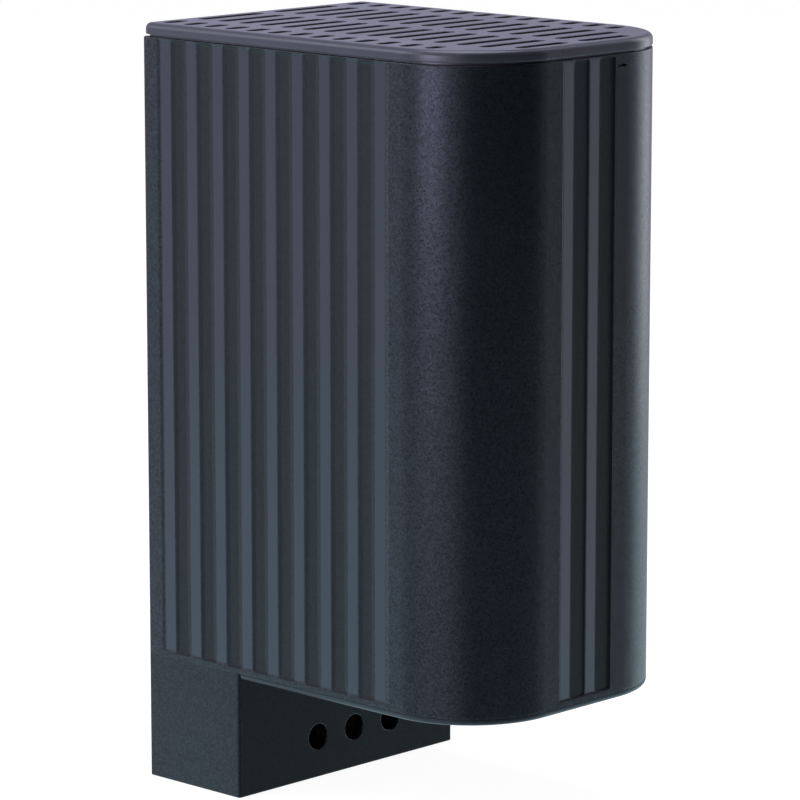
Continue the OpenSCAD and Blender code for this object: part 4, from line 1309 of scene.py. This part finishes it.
class HEATER_OT_base_cover(bpy.types.Operator):
    """Makes the cover of the terminal space"""
    bl_idname = "heater.base_cover"
    bl_label = "Base cover"

    def execute(self, context):
        make_piece("casing_base_cover", base_cover_patches(), "base_cover", stock("plain_black"))
        return {"FINISHED"}


class HEATER_OT_heating_stack(bpy.types.Operator):
    """Makes the finned profile, the stones, the contact plates and the films"""
    bl_idname = "heater.heating_stack"
    bl_label = "Heating stack"

    def execute(self, context):
        stone_round, film_round = 0.2 * MM, 0.05 * MM
        make_piece("finned_profile", profile_patches(), "heater_profile", stock("extruded_alloy"))
        for k in range(1, 5):
            node = "ptc_stone_%d" % k
            stone = brick(*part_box(node), stone_round)
            make_piece("heating_stone_%d" % k, stone, node, stock("ceramic_grey"))
        for name, side in (("live", -1), ("neutral", 1)):
            node = name + "_plate"
            contact = contact_patches(node, side)
            make_piece(name + "_contact", contact, node, stock("extruded_alloy"))
        for name in ("front", "rear"):
            node = name + "_film"
            film = brick(*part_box(node), film_round)
            make_piece(name + "_insulation", film, node, stock("amber_film"))
        return {"FINISHED"}


class HEATER_OT_leads(bpy.types.Operator):
    """Makes the three inner leads"""
    bl_idname = "heater.leads"
    bl_label = "Inner leads"

    def execute(self, context):
        r, clearance = 1.2 * MM, 1.0 * MM
        level = UPSTAND + clearance + r
        ends = {
            "live": (0, -6 * MM, "lead_brown"),
            "neutral": (1, 6 * MM, "lead_blue"),
            "earth": (2, 18 * MM, "lead_green"),
        }
        for name, (pole, x, colour) in ends.items():
            node = name + "_lead"
            low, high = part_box(node)
            path = lead_path((POLES[pole], WIRE_Y, low.z), (x, low.y + r, high.z), level)
            make_piece(name + "_wire", tube(path, r), node, stock(colour))
        return {"FINISHED"}


class HEATER_OT_rail_clip(bpy.types.Operator):
    """Makes the spring clip for the rail"""
    bl_idname = "heater.rail_clip"
    bl_label = "Rail clip"

    def execute(self, context):
        make_piece("spring_clip", rail_clip_patches(), "rail_clip", stock("plated_steel"))
        return {"FINISHED"}


class HEATER_OT_clip_screws(bpy.types.Operator):
    """Makes the two countersunk screws of the clip"""
    bl_idname = "heater.clip_screws"
    bl_label = "Clip screws"

    def execute(self, context):
        patches = []
        for x in CLIP_SCREW_X:
            patches += clip_screw_patches(x, CLIP_SCREW_Z)
        make_piece("countersunk_screws", patches, "clip_screws", stock("screw_steel"))
        return {"FINISHED"}


class HEATER_OT_terminals(bpy.types.Operator):
    """Gives the terminal parts, the push-on sleeves and the earth parts their finishes"""
    bl_idname = "heater.terminals"
    bl_label = "Terminals"

    def execute(self, context):
        finishes = {
            "terminal_body": "terminal_black",
            "clamp_screws": "screw_steel",
            "earth_lug": "plated_steel",
            "earth_screw": "screw_steel",
        }
        for pole in ("live_clamp", "neutral_clamp", "earth_clamp", "live_sleeve", "neutral_sleeve"):
            finishes[pole] = "plain_brass"
        for node, name in finishes.items():
            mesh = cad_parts[node].data
            mesh.materials.clear()
            mesh.materials.append(stock(name))
        return {"FINISHED"}


STEPS = (
    HEATER_OT_stage, HEATER_OT_housing, HEATER_OT_top_grille, HEATER_OT_bottom_grille,
    HEATER_OT_base_cover, HEATER_OT_heating_stack, HEATER_OT_leads, HEATER_OT_rail_clip,
    HEATER_OT_clip_screws, HEATER_OT_terminals,
)


class HEATER_PT_panel(bpy.types.Panel):
    """Lists the steps that dress the heater"""
    bl_label = "Enclosure heater"
    bl_idname = "HEATER_PT_panel"
    bl_space_type = "VIEW_3D"
    bl_region_type = "UI"
    bl_category = "Heater"

    def draw(self, context):
        for kind in STEPS:
            self.layout.operator(kind.bl_idname)


CLASSES = (CasingSettings, GrilleSettings, StageSettings, *STEPS, HEATER_PT_panel)


def register():
    """Adds the classes, and the settings to the scene."""
    for kind in CLASSES:
        bpy.utils.register_class(kind)
    bpy.types.Scene.heater_casing = PointerProperty(type=CasingSettings)
    bpy.types.Scene.heater_grille = PointerProperty(type=GrilleSettings)
    bpy.types.Scene.heater_stage = PointerProperty(type=StageSettings)


def unregister():
    """Takes the settings and the classes away."""
    del bpy.types.Scene.heater_stage
    del bpy.types.Scene.heater_grille
    del bpy.types.Scene.heater_casing
    for kind in reversed(CLASSES):
        bpy.utils.unregister_class(kind)


def main():
    """Dresses the heater step by step."""
    register()
    bpy.ops.heater.stage()
    bpy.ops.heater.housing()
    bpy.ops.heater.top_grille()
    bpy.ops.heater.bottom_grille()
    bpy.ops.heater.base_cover()
    bpy.ops.heater.heating_stack()
    bpy.ops.heater.leads()
    bpy.ops.heater.rail_clip()
    bpy.ops.heater.clip_screws()
    bpy.ops.heater.terminals()


if __name__ == "__main__":
    main()
